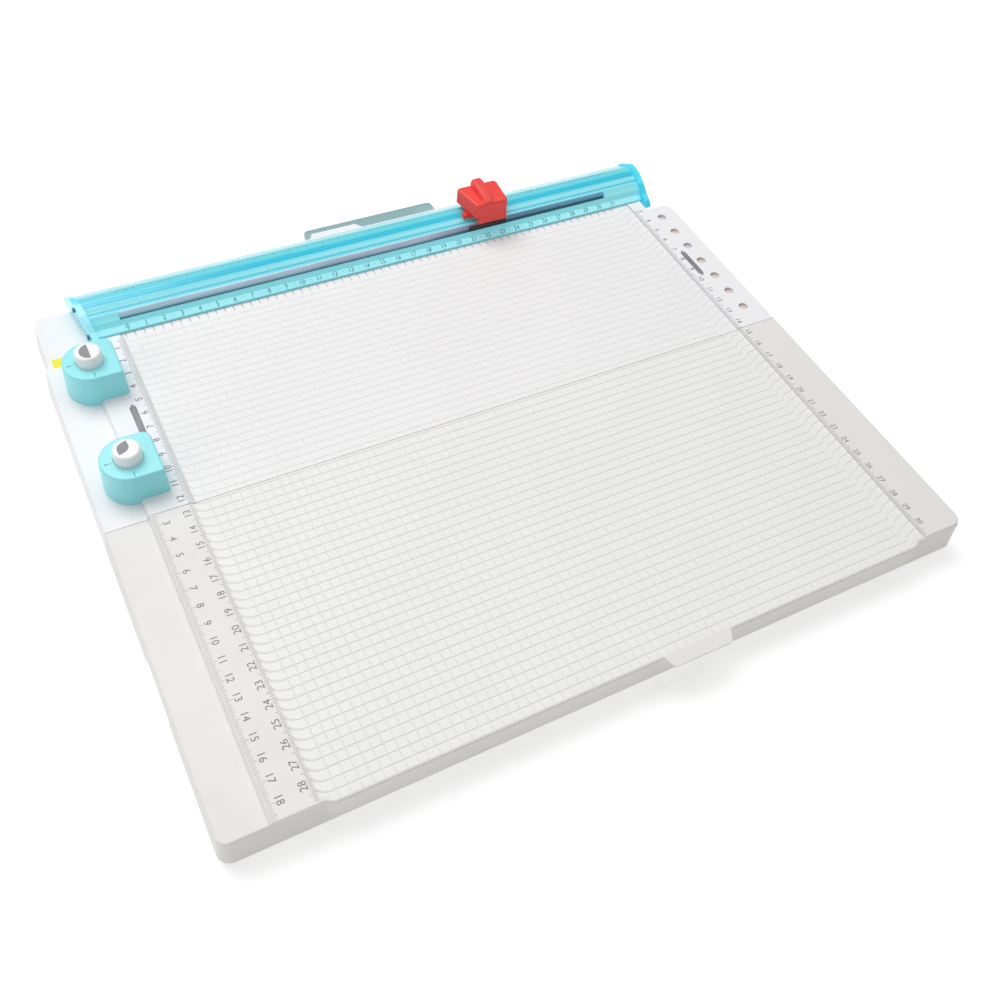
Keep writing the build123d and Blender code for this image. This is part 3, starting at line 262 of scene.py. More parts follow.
def rail_look():
    """Clear tinted plastic whose tone changes in bands from the front flap to the rear foot. The bands are
    partly its tint and partly painted light: the bright and dark lines that its facets, reflections and
    refraction give it. The flap glows as well, painted light.
    """
    look = Look("rail_clear_plastic", linear(120, 228, 240), 0.2, coat=0.12, ior=1.49, transmission=0.08)
    front, rear = RAIL_FRONT_Y, high("rail")[1]
    # distance behind the front edge, and the tone there, tint with painted highlights and painted shade
    tint_and_painted_light_bands = [
        (0.0, (136, 226, 236)), (0.5, (158, 232, 240)), (2.4, (156, 232, 240)), (3.4, (144, 230, 240)),
        (4.0, (156, 238, 246)), (4.8, (150, 234, 243)), (8.8, (150, 232, 240)), (9.7, (98, 226, 240)),
        (10.3, (92, 220, 238)), (10.7, (28, 150, 192)), (11.1, (96, 214, 232)), (11.8, (132, 230, 243)),
        (12.8, (160, 240, 248)), (13.8, (104, 228, 240)),
        (14.6, (66, 208, 232)), (15.2, (30, 176, 212)), (15.8, (56, 206, 232)), (17.0, (64, 210, 234)),
        (17.4, (40, 186, 216)), (18.0, (84, 216, 236)), (19.6, (112, 224, 238)),
        (22.0, (122, 222, 232)), (27.0, (124, 218, 228)), (33.0, (146, 220, 228))]
    across = look.spread(look.axis("Y"), 0.0, 1.0, front * MM, rear * MM)
    tone = look.ramp(across, [(run / (rear - front), rgb) for run, rgb in tint_and_painted_light_bands])
    flow = look.noise(14.0, 4.0, (0.1, 1.0, 1.0))
    tone = look.mix(look.spread(flow, 0.0, 0.3, 0.45, 0.75), tone, linear(52, 204, 230))
    streaks = look.noise(260.0, 2.0, (0.02, 1.0, 1.0))
    tone = look.mix(look.spread(streaks, 0.0, 0.22, 0.55, 0.8), tone, linear(60, 190, 214))
    look.colour(tone)
    # painted light: the front flap, which faces away from the lamps, glows fully and the glow drops to a
    # fifth behind it
    flap = look.spread(look.axis("Y"), 0.0, 0.8, (front + 4.5) * MM, (front + 11.0) * MM)
    look.glow(look.mix(flap, tone, linear(0, 0, 0)), 0.16)
    look.rough(look.spread(look.noise(40.0, 4.0, (0.3, 1.0, 1.0)), 0.16, 0.3))
    look.bump(look.noise(90.0, 2.0, (0.15, 1.0, 1.0)), 0.00005, 0.25)
    return look.mat


def cap_look():
    """Deeper clear plastic with the dark shapes of what it covers showing through in places, and a glow in
    its own tone that is painted light.
    """
    look = Look("cap_clear_plastic", linear(64, 214, 238), 0.16, coat=0.2, ior=1.49, transmission=0.1)
    flow = look.noise(60.0, 3.0)
    tone = look.mix(look.spread(flow, 0.0, 1.0), linear(82, 220, 240), linear(44, 198, 228))
    pale = look.mix(look.spread(flow, 0.0, 1.0), linear(164, 228, 238), linear(104, 216, 234))
    tone = look.mix(look.spread(look.axis("X"), 0.0, 1.0, -50 * MM, 50 * MM), pale, tone)
    shapes = look.noise(170.0, 1.0, (1.0, 0.6, 1.0))
    tone = look.mix(look.spread(shapes, 0.0, 0.7, 0.66, 0.72), tone, linear(40, 118, 150))
    look.colour(tone)
    # painted light: the caps glow in their own tone
    look.glow(tone, 0.2)
    look.bump(look.noise(120.0, 2.0), 0.00005, 0.3)
    return look.mat


def slot_look():
    """Grey strip in the slot, lighter at the left and darker at the right, with painted shade: a dark patch
    where the carriage's shadow falls and a dark lower edge that darkens towards the right. It glows in its
    own tone, painted light.
    """
    look = Look("slot_liner_plastic", linear(150, 180, 196), 0.45)
    along = look.spread(look.axis("X"), 0.0, 1.0, -150 * MM, 150 * MM)
    # painted shadow of the carriage in the dark stops at 0.74 and 0.8, about X 72 to 90 mm
    tone = look.ramp(along, [
        (0.0, (184, 206, 218)), (0.35, (190, 198, 212)), (0.6, (186, 188, 206)),
        (0.74, (128, 130, 152)), (0.8, (98, 128, 152)), (1.0, (102, 162, 186))])
    streaks = look.noise(500.0, 2.0, (0.05, 1.0, 1.0))
    tone = look.mix(look.spread(streaks, 0.0, 0.3), tone, linear(90, 100, 120))
    # painted shade along the lower edge, stronger towards the right
    right = look.spread(look.axis("X"), 0.25, 0.9, 30 * MM, 80 * MM)
    edge = look.spread(look.axis("Z"), 1.0, 0.0, (STRIP_Z + 3.6) * MM, (STRIP_Z + 4.6) * MM)
    tone = look.mix(look.product(right, edge), tone, linear(40, 42, 54))
    look.colour(tone)
    # painted light: the strip glows in its own tone
    look.glow(tone, 0.42)
    return look.mat


def carriage_look():
    """Red plastic, with painted deep shade on the legs down in the slot and a glow in its own tone that is
    painted light.
    """
    red = linear(232, 68, 62)
    look = Look("carriage_red_plastic", red, 0.42, subsurface=0.08)
    # painted shade: dark below this height, where the legs go down into the slot
    depth = look.spread(look.axis("Z"), 1.0, 0.0, (STRIP_Z + 7.2) * MM, (STRIP_Z + 7.8) * MM)
    tone = look.mix(depth, look.clouded(red, 0.92), linear(70, 30, 34))
    look.colour(tone)
    # painted light: the red glows in its own tone
    look.glow(tone, 0.16)
    look.rough(look.spread(look.noise(60.0, 5.0), 0.36, 0.48))
    look.bump(look.noise(600.0, 2.0), 0.00004, 0.35)
    return look.mat


DIMPLES_X = (181.5, 189.5)  # the row of holes along the right edge lies between these two
DIMPLES_Y = 7.5             # and to the rear of this
DIMPLES_SOFT = 0.5          # how softly the painted shade ends


def rear_deck_look():
    """Rear deck plastic, with a warm painted shade down in the row of holes."""
    look = Look("rear_white_plastic", REAR_WHITE, 0.5)
    x0, x1 = DIMPLES_X
    depth = look.spread(look.axis("Z"), 1.0, 0.0, (STRIP_Z - 2.2) * MM, (STRIP_Z - 0.2) * MM)
    left = look.spread(look.axis("X"), 0.0, 1.0, x0 * MM, (x0 + DIMPLES_SOFT) * MM)
    right = look.spread(look.axis("X"), 1.0, 0.0, (x1 - DIMPLES_SOFT) * MM, x1 * MM)
    row = look.spread(look.axis("Y"), 0.0, 1.0, DIMPLES_Y * MM, (DIMPLES_Y + DIMPLES_SOFT) * MM)
    # painted shade in the row of holes: down in them, to the rear of DIMPLES_Y and between DIMPLES_X
    shade = look.product(left, right, row, depth)
    look.colour(look.mix(shade, look.clouded(REAR_WHITE, 0.975), linear(206, 190, 182)))
    look.rough(look.spread(look.noise(60.0, 5.0), 0.44, 0.56))
    look.bump(look.noise(900.0, 2.0), 0.00004, 0.35)
    return look.mat


def ink(name, colour, fade=0.25):
    """Pad print, a little uneven where it is thin; the same finish serves the painted shade at the starts of
    the cross grooves.
    """
    look = Look(name, colour, 0.6)
    pale = tuple(c + (0.8 - c) * fade for c in colour[:3]) + (1.0,)
    look.colour(look.mix(look.spread(look.noise(700.0, 3.0), 0.0, 1.0, 0.35, 0.75), colour, pale))
    return look.mat


def streaked(name, colour, pale, glow=0.0):
    """Grey with fine streaks along it, for the inlays, the mat and the painted step shadows; a glow, where
    given, is painted light in its own tone.
    """
    look = Look(name, colour, 0.55)
    streaks = look.noise(500.0, 3.0, (1.0, 0.12, 1.0))
    look.colour(look.mix(look.spread(streaks, 0.0, 1.0), colour, pale))
    look.bump(streaks, 0.00003, 0.4)
    # painted light: the grey glows in its own tone
    if glow:
        look.glow(colour, glow)
    return look.mat


REAR_WHITE = linear(241, 241, 243)
FRONT_WHITE = linear(233, 231, 228)
LOOKS = {
    "rear_white": rear_deck_look(),
    "front_white": moulded("front_white_plastic", FRONT_WHITE, 0.5),
    "under_white": moulded("cover_plastic", linear(226, 226, 226), 0.6),
    "rear_plate": score_plate_look("rear_score_plastic", linear(240, 239, 239), linear(222, 214, 214)),
    "front_plate": score_plate_look("front_score_plastic", linear(238, 238, 236), linear(212, 207, 201)),
    "rail": rail_look(),
    "cap": cap_look(),
    "handle": tinted("handle_clear_plastic", linear(182, 214, 216), linear(160, 200, 204), 0.2, 0.35, 0.2),
    "red": carriage_look(),
    "dark": moulded("dark_plastic_and_painted_shade", linear(50, 44, 50), 0.5, shade=0.8),
    # the punch housings and the knobs glow: painted light
    "aqua": moulded("punch_aqua_plastic", linear(140, 220, 226), 0.38, shade=0.97, coat=0.12, subsurface=0.05,
                    glow=0.14),
    "knob": moulded("knob_white_plastic", linear(233, 234, 234), 0.3, shade=0.985, coat=0.2, glow=0.1),
    "plunger": moulded("plunger_plastic", linear(225, 226, 226), 0.45),
    "slot_grey": slot_look(),
    # the cutting mat glows: painted light
    "mat": streaked("cutting_mat_plastic", linear(168, 182, 192), linear(188, 200, 208), glow=0.2),
    "marker": streaked("marker_print", linear(118, 119, 124), linear(150, 151, 156)),
    "rubber": moulded("foot_rubber", linear(150, 152, 154), 0.8, shade=0.85, grain=1500.0, depth=0.0001),
    "strip_rubber": moulded("grip_rubber", linear(214, 220, 222), 0.7),
    "ear": moulded("ear_plastic", linear(200, 226, 230), 0.4),
    "steel": steel("plain_steel", linear(196, 197, 200), 0.3, (0.05, 1.0, 1.0)),
    "blade": steel("ground_steel", linear(214, 216, 220), 0.2, (1.0, 1.0, 0.05)),
    "screw": steel("zinc_steel", linear(188, 188, 190), 0.34, (1.0, 1.0, 1.0)),
    "cap_screw": moulded("cap_screw_steel", linear(70, 146, 170), 0.4, shade=0.8),
    "ink": ink("ruler_ink", linear(116, 116, 120), 0.15),
    "dark_ink": ink("dark_ruler_ink", linear(98, 98, 104), 0.1),
    # painted shade at the starts of the cross grooves in front of the rail
    "painted_start_shade": ink("painted_start_shade", linear(168, 160, 158)),
    "rail_ink": ink("rail_ink", linear(22, 100, 120), 0.03),
    "fine_rail_ink": ink("fine_rail_ink", linear(40, 132, 152), 0.05),
    "icon": ink("icon_ink", linear(140, 140, 144), 0.1),
    # painted shadow where the strips step down to the rear field
    "line": streaked("painted_step_shadow", linear(204, 204, 206), linear(216, 216, 218)),
    "label": moulded("label_yellow", linear(246, 232, 40), 0.5, shade=0.95),
    "gap": moulded("gap_shadow", linear(40, 110, 116), 0.8, shade=0.9),
}

FINISHES = {
    "rear_white": ["rear_deck"],
    "front_white": ["front_deck"],
    "under_white": ["rear_base_cover", "front_base_cover", "chip_plugs"],
    "rear_plate": ["rear_score_plate"],
    "front_plate": ["front_score_plate"],
    "rail": ["rail"],
    "cap": ["rail_cap_left", "rail_cap_right"],
    "handle": ["handle_grip", "handle_arms"],
    "red": ["carriage_cover", "carriage_slider"],
    # the blade holder's wide dark foot down in the slot stands for the shade under the carriage: painted
    # shade
    "dark": ["carriage_shoes", "blade_holder"],
    "aqua": ["rear_punch_housing", "front_punch_housing"],
    "knob": ["rear_punch_knob", "front_punch_knob"],
    "plunger": ["rear_punch_plunger", "front_punch_plunger"],
    "slot_grey": ["slot_liner"],
    "mat": ["cutting_mat"],
    "marker": ["marker_inlays"],
    "rubber": ["rear_feet", "front_feet"],
    "strip_rubber": ["rail_grip_strip"],
    "ear": ["rail_hinge_ears"],
    "steel": ["rear_hinge_leaves", "front_hinge_leaves", "fold_hinge_pins", "rail_hinge_pins",
              "cutter_spring", "rear_punch_spring", "front_punch_spring", "rear_punch_die", "front_punch_die",
              "rear_punch_tool", "front_punch_tool"],
    "blade": ["blade"],
    "screw": ["rear_cover_screws", "front_cover_screws"],
    "cap_screw": ["rail_cap_screws"],
}


def finish_cad_nodes():
    """The CAD pieces in their materials."""
    for look, names in FINISHES.items():
        for name in names:
            mesh = NODES[name].data
            mesh.materials.clear()
            mesh.materials.append(LOOKS[look])


# ---------------------------------------------------------------- mesh helpers

def piece(name, mesh, look, body):
    """A finished piece that rides on a CAD body."""
    mesh.materials.clear()
    mesh.materials.append(LOOKS[look])
    made = bpy.data.objects.new(name, mesh)
    bpy.context.scene.collection.objects.link(made)
    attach(made, body)
    return made


def mesh_data(mesh, name):
    """A worked mesh, made into Blender's own mesh data."""
    data = bpy.data.meshes.new(name)
    mesh.to_mesh(data)
    mesh.free()
    return data


class Sheet:
    """Thin prints on one plane, gathered into one mesh. u runs along the print and v up its letters."""

    def __init__(self, origin=(0, 0, 0), u=(1, 0, 0), v=(0, 1, 0)):
        self.mesh = bmesh.new()
        self.lay(origin, u, v)

    def lay(self, origin, u, v):
        """Choose the plane that the next prints lie on."""
        self.frame = Matrix.Identity(4)
        u, v = Vector(u).normalized(), Vector(v).normalized()
        normal = u.cross(v)
        for row in range(3):
            self.frame[row][0], self.frame[row][1], self.frame[row][2] = u[row], v[row], normal[row]
            self.frame[row][3] = origin[row]

    def place(self, u, v):
        return (self.frame @ Vector((u, v, INK_LIFT))) * MM

    def polygon(self, points):
        self.mesh.faces.new([self.mesh.verts.new(self.place(u, v)) for u, v in points])

    def bar(self, u0, u1, v0, v1):
        self.polygon([(u0, v0), (u1, v0), (u1, v1), (u0, v1)])

    def text(self, words, u, v, height, turned=False):
        """Digits centred on a point; height is a digit's height."""
        letters = digits(words)
        size = height / DIGIT_HEIGHT
        turn = -1 if turned else 1
        spots = [self.place(u + turn * x * size, v + turn * y * size) for x, y in letters[0]]
        table = [self.mesh.verts.new(spot) for spot in spots]
        for face in letters[1]:
            self.mesh.faces.new([table[n] for n in face])

    def done(self, name):
        return mesh_data(self.mesh, name)


DIGIT_HEIGHT = 0.69         # height of a digit in a text object of size 1
_digits = {}


def digits(words):
    """Centred outline mesh of some digits, as points and faces at text size 1."""
    if words not in _digits:
        curve = bpy.data.curves.new("digits", "FONT")
        curve.body = words
        curve.resolution_u = 3
        carrier = bpy.data.objects.new("digits", curve)
        bpy.context.scene.collection.objects.link(carrier)
        bpy.context.view_layer.update()
        data = bpy.data.meshes.new_from_object(carrier.evaluated_get(bpy.context.evaluated_depsgraph_get()))
        xs = [p.co.x for p in data.vertices]
        middle = (min(xs) + max(xs)) / 2
        points = [(p.co.x - middle, p.co.y - DIGIT_HEIGHT / 2) for p in data.vertices]
        _digits[words] = (points, [tuple(f.vertices) for f in data.polygons])
        bpy.data.meshes.remove(data)
        bpy.data.objects.remove(carrier)
        bpy.data.curves.remove(curve)
    return _digits[words]


# ---------------------------------------------------------------- score plates

GROOVE = 0.42               # half width of a score groove at the top
GROOVE_FLOOR = 0.14         # half width of its floor
GROOVE_ENDS = (-0.1, 0.0, 0.25, 1.3)  # how far the four lines of a groove part at its hooked start
ALONG_DEPTH = {"rear": 0.17, "front": 0.2}
ACROSS_DEPTH = {"rear": 0.12, "front": 0.16}
PLATE_LEFT = 0.06           # plate that stays under the deepest groove
EDGE_CLEAR = 1.0            # no groove runs closer than this to an edge
REAR_CLEAR = 0.02           # a groove's hooked start keeps this far in front of the plate's rear edge
HOOK = 6.0                  # length of the curved starts at the left
HOOK_RISE = 2.8
HOOK_CURVE = 2.2            # power that the hooks' curve follows
HOOK_DEEPER = 0.25          # share by which a groove is deeper at its start
HOOK_STEPS = (0.5, 1.1, 1.8, 2.6, 3.5, 4.5, 5.6)
KINK_X = 160.0              # where the score lines turn at the right
KINK = ((0.0, 0.0), (1.4, 0.3), (3.2, 2.2), (5.2, 3.3), (7.6, 3.5), (9.2, 4.3), (10.9, 4.6))


def bend(x):
    """How far to the rear a score line stands at some X: hooked at the left, kinked at the right."""
    from_left = x - FIELD_LEFT
    if from_left < HOOK:
        share = (HOOK - from_left) / HOOK
        return HOOK_RISE * share ** HOOK_CURVE
    past = x - KINK_X
    if past <= 0:
        return 0.0
    for (x0, y0), (x1, y1) in zip(KINK, KINK[1:]):
        if past <= x1:
            return y0 + (y1 - y0) * (past - x0) / (x1 - x0)
    return KINK[-1][1]


def groove_lines(centres, depth, first, last):
    """Places, depths and end flares of mesh lines across a row of grooves, from first to last."""
    profile = ((-GROOVE, 0.0), (-GROOVE_FLOOR, depth), (GROOVE_FLOOR, depth), (GROOVE, 0.0))
    lines = [(first, 0.0, 0.0)]
    for centre in centres:
        lines += [(centre + off, deep, end) for (off, deep), end in zip(profile, GROOVE_ENDS)]
    return lines + [(last, 0.0, 0.0)]


def cross_grooves(first, last):
    """X of the score lines along Y that have room between two edges."""
    places = [SCORE_X0 + SCORE_PITCH * n for n in range(1, SCORE_COLUMNS)]
    return [x for x in places if first + EDGE_CLEAR < x < last - EDGE_CLEAR]


def score_plate(half):
    """Grooved plate that stands for a half's plain CAD plate."""
    node = half + "_score_plate"
    (x0, y0, z0), (x1, y1, z1) = low(node), high(node)
    rows = [SCORE_Y0 - SCORE_PITCH * n for n in range(SCORE_ROWS)]
    rows = sorted(y for y in rows if y0 + EDGE_CLEAR < y < y1 - EDGE_CLEAR)
    columns = groove_lines(cross_grooves(x0, x1), ACROSS_DEPTH[half], x0, x1)
    columns += [(x0 + step, 0.0, 0.0) for step in HOOK_STEPS]
    columns += [(KINK_X + step, 0.0, 0.0) for step, _ in KINK[:-1]]
    columns.sort()
    lines = groove_lines(rows, ALONG_DEPTH[half], y0, y1)
    mesh = bmesh.new()
    grid = []
    for x, x_depth, _ in columns:
        shift = bend(x)
        near_left = max(0.0, 1.0 - (x - FIELD_LEFT) / HOOK)
        hooked = 1.0 + HOOK_DEEPER * near_left
        column = []
        for place, y_depth, side in lines:
            inner = place not in (y0, y1)
            y = min(place + shift + side * near_left, y1 - REAR_CLEAR) if inner else place
            depth = max(x_depth, min(y_depth * hooked, z1 - z0 - PLATE_LEFT))
            column.append(mesh.verts.new((x * MM, y * MM, (z1 - depth) * MM)))
        grid.append(column)
    for left, right in zip(grid, grid[1:]):
        for n in range(len(lines) - 1):
            mesh.faces.new((left[n], right[n], right[n + 1], left[n + 1]))
    rim = [column[0] for column in grid] + grid[-1][1:]
    rim += [column[-1] for column in reversed(grid[:-1])] + grid[0][-2:0:-1]
    foot = [mesh.verts.new((v.co.x, v.co.y, z0 * MM)) for v in rim]
    for n in range(len(rim)):
        mesh.faces.new((rim[n - 1], rim[n], foot[n], foot[n - 1]))
    mesh.faces.new(foot)
    bmesh.ops.recalc_face_normals(mesh, faces=mesh.faces)
    name = node + "_grooved"
    made = piece(name, mesh_data(mesh, name), half + "_plate", half + "_half")
    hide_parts(node)


# ---------------------------------------------------------------- front edge of the field

NOSING_X = (-155.0, 169.0)  # the edge stands out from the wall between these two
NOSING_EASE = 7.0           # length of the curve at either end
NOSING_STEPS = 8            # mesh lines in that curve
# The edge's cross section: how far in front of the plate, and how high over the field, each point lies. The
# ends of the edge are hidden in the wall, and between them it stands out in full.
NOSING_HIDDEN = ((0.0, -0.1), (0.5, -0.1), (0.8, -0.2), (1.2, -1.2), (2.8, -17.7), (0.0, -17.7))
NOSING_FULL = ((0.0, 0.02), (2.9, 0.02), (3.7, -0.2), (4.2, -0.9), (3.2, -17.7), (0.0, -17.7))
NOSING_GROOVED = 4          # points of the outline, from its first on, that the cross grooves lower
NOSING_TOP = 1              # sides of the outline, from its first on, that look like the field


def front_nosing():
    """Rounded front edge of the field, a little out from the wall, with the cross grooves run over it."""
    first, last = NOSING_X
    columns = groove_lines(cross_grooves(first, last), ACROSS_DEPTH["front"], first, last)
    for step in range(1, NOSING_STEPS + 1):
        run = NOSING_EASE * step / NOSING_STEPS
        columns += [(first + run, 0.0, 0.0), (last - run, 0.0, 0.0)]
    columns.sort()
    mesh = bmesh.new()
    rings = []
    for x, depth, _ in columns:
        share = min(1.0, min(x - first, last - x) / NOSING_EASE)
        share = share * share * (3 - 2 * share)
        ring = []
        for n, ((hidden_out, hidden_z), (out, z)) in enumerate(zip(NOSING_HIDDEN, NOSING_FULL)):
            y = FRONT_Y - (hidden_out + (out - hidden_out) * share)
            height = FIELD_Z + hidden_z + (z - hidden_z) * share - (depth if n < NOSING_GROOVED else 0.0)
            ring.append(mesh.verts.new((x * MM, y * MM, height * MM)))
        rings.append(ring)
    count = len(NOSING_FULL)
    for left, right in zip(rings, rings[1:]):
        for n in range(count):
            mesh.faces.new((left[n], right[n], right[(n + 1) % count], left[(n + 1) % count]))
    mesh.faces.new(rings[0])
    mesh.faces.new(list(reversed(rings[-1])))
    bmesh.ops.recalc_face_normals(mesh, faces=mesh.faces)
    data = mesh_data(mesh, "front_nosing")
    piece("front_nosing", data, "front_plate", "front_half")
    data.materials.append(LOOKS["front_white"])
    for face in data.polygons:
        face.material_index = 0 if face.index % count < NOSING_TOP else 1


# ---------------------------------------------------------------- rulers

TICKS_OFF = 0.1             # from the field's edge
BOARD_TICKS = (1.5, 2.6, 1.9)
OUTER_TICKS = (2.1, 2.9, 3.6)
FINE_TICKS = (1.3, 2.3, 3.0)
TICK = 0.2                  # width of a tick
OUTER_TICK = 0.15
LEFT_RULER_MM = {"rear": (4, 124), "front": (125, 288)}
RIGHT_RULER_MM = {"rear": (29, 145), "front": (146, 308)}
OUTER_RULER_MM = (24, 187)
LEFT_NUMBERS = range(1, 29)
RIGHT_NUMBERS = range(3, 31)
OUTER_NUMBERS = range(3, 19)
RAIL_NUMBERS = range(0, 32)
LEFT_DIGITS = 3.4           # heights of the numbers
RIGHT_DIGITS = 3.0
RAIL_DIGITS = 2.6
NUMBERS_OFF = 3.9           # from the field to the middle of the numbers beside it
OUTER_TICKS_OFF = 1.1       # from the step at STRIP_LEFT
OUTER_NUMBERS_OFF = 6.9


def tick_length(mm, lengths):
    """Length of one tick, out of those of a millimetre, a half and a whole centimetre."""
    return lengths[2] if mm % 10 == 0 else lengths[1] if mm % 5 == 0 else lengths[0]


def ruler_ticks(sheet, origin, span, edge, lengths, direction, width=TICK):
    """Millimetre ticks on the board; direction is the sign in which they leave the ruler's edge."""
    for mm in range(span[0], span[1] + 1):
        y = origin - mm
        low_x, high_x = sorted((edge, edge + direction * tick_length(mm, lengths)))
        sheet.bar(low_x, high_x, y - width / 2, y + width / 2)


def board_rulers():
    """Rulers on the strips at the left and right of the field, split at the fold."""
    for half, look in (("rear", "dark_ink"), ("front", "ink")):
        marks = Sheet((0, 0, STRIP_Z))
        numbers_left = Sheet((0, 0, STRIP_Z), u=(0, 1, 0), v=(-1, 0, 0))
        numbers_right = Sheet((0, 0, STRIP_Z), u=(0, -1, 0), v=(1, 0, 0))
        ruler_ticks(marks, LEFT_RULER_0, LEFT_RULER_MM[half], FIELD_LEFT - TICKS_OFF, BOARD_TICKS, -1)
        ruler_ticks(marks, RIGHT_RULER_0, RIGHT_RULER_MM[half], FIELD_RIGHT + TICKS_OFF, BOARD_TICKS, 1)
        for number in LEFT_NUMBERS:
            y = LEFT_RULER_0 - 10 * number
            if (y > FOLD_Y) == (half == "rear"):
                numbers_left.text(str(number), y, -(FIELD_LEFT - NUMBERS_OFF), LEFT_DIGITS)
        for number in RIGHT_NUMBERS:
            y = RIGHT_RULER_0 - 10 * number
            if (y > FOLD_Y) == (half == "rear"):
                numbers_right.text(str(number), -y, FIELD_RIGHT + NUMBERS_OFF, RIGHT_DIGITS)
        if half == "front":
            edge = STRIP_LEFT + OUTER_TICKS_OFF
            ruler_ticks(marks, OUTER_RULER_0, OUTER_RULER_MM, edge, OUTER_TICKS, 1, OUTER_TICK)
            for number in OUTER_NUMBERS:
                y = OUTER_RULER_0 - 10 * number
                numbers_right.text(str(number), -y, STRIP_LEFT + OUTER_NUMBERS_OFF, LEFT_DIGITS)
        body, record_slot = half + "_half", "board_" + half
        piece(body + "_ruler_ticks", marks.done("ticks"), look, body)
        piece(body + "_left_numbers", numbers_left.done("numbers"), look, body)
        piece(body + "_right_numbers", numbers_right.done("numbers"), look, body)


LEFT_STEP_SHADOW = (0.15, 1.9)     # painted shadow lines where the strips step down beside the rear field, from its edges
RIGHT_STEP_SHADOW = (0.15, 0.75)
STEP_SHADOW_TO_FOLD = 0.3
START_SHADE_Y = (4.0, 0.1)   # painted shade at the starts of the score lines, from the rail's front edge
START_SHADE_HALF = (0.08, 0.3)


def step_lines():
    """Painted shadow lines along both sides of the rear field, where the strips step down to it, and painted
    shade at the starts of the cross grooves in front of the rail.
    """
    # painted shadows of the steps beside the rear field
    lines = Sheet((0, 0, FIELD_Z))
    front = FOLD_Y + STEP_SHADOW_TO_FOLD
    lines.bar(FIELD_LEFT + LEFT_STEP_SHADOW[0], FIELD_LEFT + LEFT_STEP_SHADOW[1], front, RAIL_FRONT_Y)
    lines.bar(FIELD_RIGHT - RIGHT_STEP_SHADOW[1], FIELD_RIGHT - RIGHT_STEP_SHADOW[0], front, RAIL_FRONT_Y)
    piece("painted_field_step_shadows", lines.done("lines"), "line", "rear_half")
    # painted shade at the starts of the cross grooves, widest next to the rail
    ticks = Sheet((0, 0, FIELD_Z))
    near, far = RAIL_FRONT_Y - START_SHADE_Y[0], RAIL_FRONT_Y - START_SHADE_Y[1]
    thin, thick = START_SHADE_HALF
    for number in range(SCORE_COLUMNS):
        x = SCORE_X0 + SCORE_PITCH * number
        ticks.polygon([(x - thin, near), (x + thin, near), (x + thick, far), (x - thick, far)])
    piece("groove_start_painted_shade", ticks.done("ticks"), "painted_start_shade", "rear_half")


FLAP_FOOT = 0.5             # height of the flap's front edge over the strips
FLAP_RISE = (0, 3.5, 1.6)   # direction of the flap's slope
FLAP_NUMBERS = 2.3          # up the slope, to the middle of the numbers
FLAP_TICK = (0.1, 0.8)      # up the slope, from and to
FLAP_TICK_HALF = 0.14
FLAP_DASH = (2.2, 2.5)      # the same for the dash half way between two numbers
FLAP_DASH_X = (4.8, 5.2)
CREST_Y = 22.1              # crest of the rail, behind its front edge
CREST_Z = 9.4               # and over the strips
CREST_BEHIND = 1.7          # how far the fine scale's edge lies behind the crest
REAR_SLOPE = (0, 2.0, -0.7)
CREST_SLOPE = (0, 3.0, -0.3)
FINE_TICK_HALF = 0.15
FINE_SCALE_MM = 316


def rail_rulers():
    """Centimetre ruler on the rail's front flap and a fine scale across its crest."""
    flap = Sheet((0, RAIL_FRONT_Y, STRIP_Z + FLAP_FOOT), u=(1, 0, 0), v=FLAP_RISE)
    for number in RAIL_NUMBERS:
        x = RAIL_RULER_0 + 10 * number
        flap.text(str(number), x, FLAP_NUMBERS, RAIL_DIGITS)
        flap.bar(x - FLAP_TICK_HALF, x + FLAP_TICK_HALF, *FLAP_TICK)
        if number < RAIL_NUMBERS[-1]:
            flap.bar(x + FLAP_DASH_X[0], x + FLAP_DASH_X[1], *FLAP_DASH)
    piece("rail_front_ruler", flap.done("ruler"), "rail_ink", "rail_unit")
    crest = (0, RAIL_FRONT_Y + CREST_Y, STRIP_Z + CREST_Z)
    fine = Sheet()
    for slope in REAR_SLOPE, CREST_SLOPE:
        fine.lay(crest, (1, 0, 0), slope)
        for mm in range(FINE_SCALE_MM):
            x = RAIL_RULER_0 + mm
            long = tick_length(mm, FINE_TICKS)
            if slope == REAR_SLOPE:
                start, stop = CREST_BEHIND - min(long, CREST_BEHIND), CREST_BEHIND
            else:
                start, stop = CREST_BEHIND - long, 0
            if start < stop:
                fine.bar(x - FINE_TICK_HALF, x + FINE_TICK_HALF, start, stop)
    piece("rail_rear_scale", fine.done("scale"), "fine_rail_ink", "rail_unit")


# ---------------------------------------------------------------- punches

ICON_STEPS = 24             # points along an icon's curve
DISC_RADIUS = 5.0
DISC_MIDDLE = (0.9, -0.35)
DISC_START = 92             # degrees
DISC_SWEEP = 176
LEAF_TIPS = ((1.1, 4.8), (-3.9, -3.1))
LEAF_BULGES = (2.6, -2.8)
INDEX_BARS = ((-0.34, -0.06, -12.6, -9.4), (-10.8, -8.2, -0.82, -0.58))  # x and y, from and to
INDEX_ARROW = ((-11.6, -0.7), (-10.6, -1.2), (-10.6, -0.2))


def half_disc():
    """Outline of the icon on the rear knob."""
    (x, y), radius = DISC_MIDDLE, DISC_RADIUS
    turns = [math.radians(DISC_START + DISC_SWEEP * n / ICON_STEPS) for n in range(ICON_STEPS + 1)]
    return [(x + radius * math.cos(turn), y + radius * math.sin(turn)) for turn in turns]


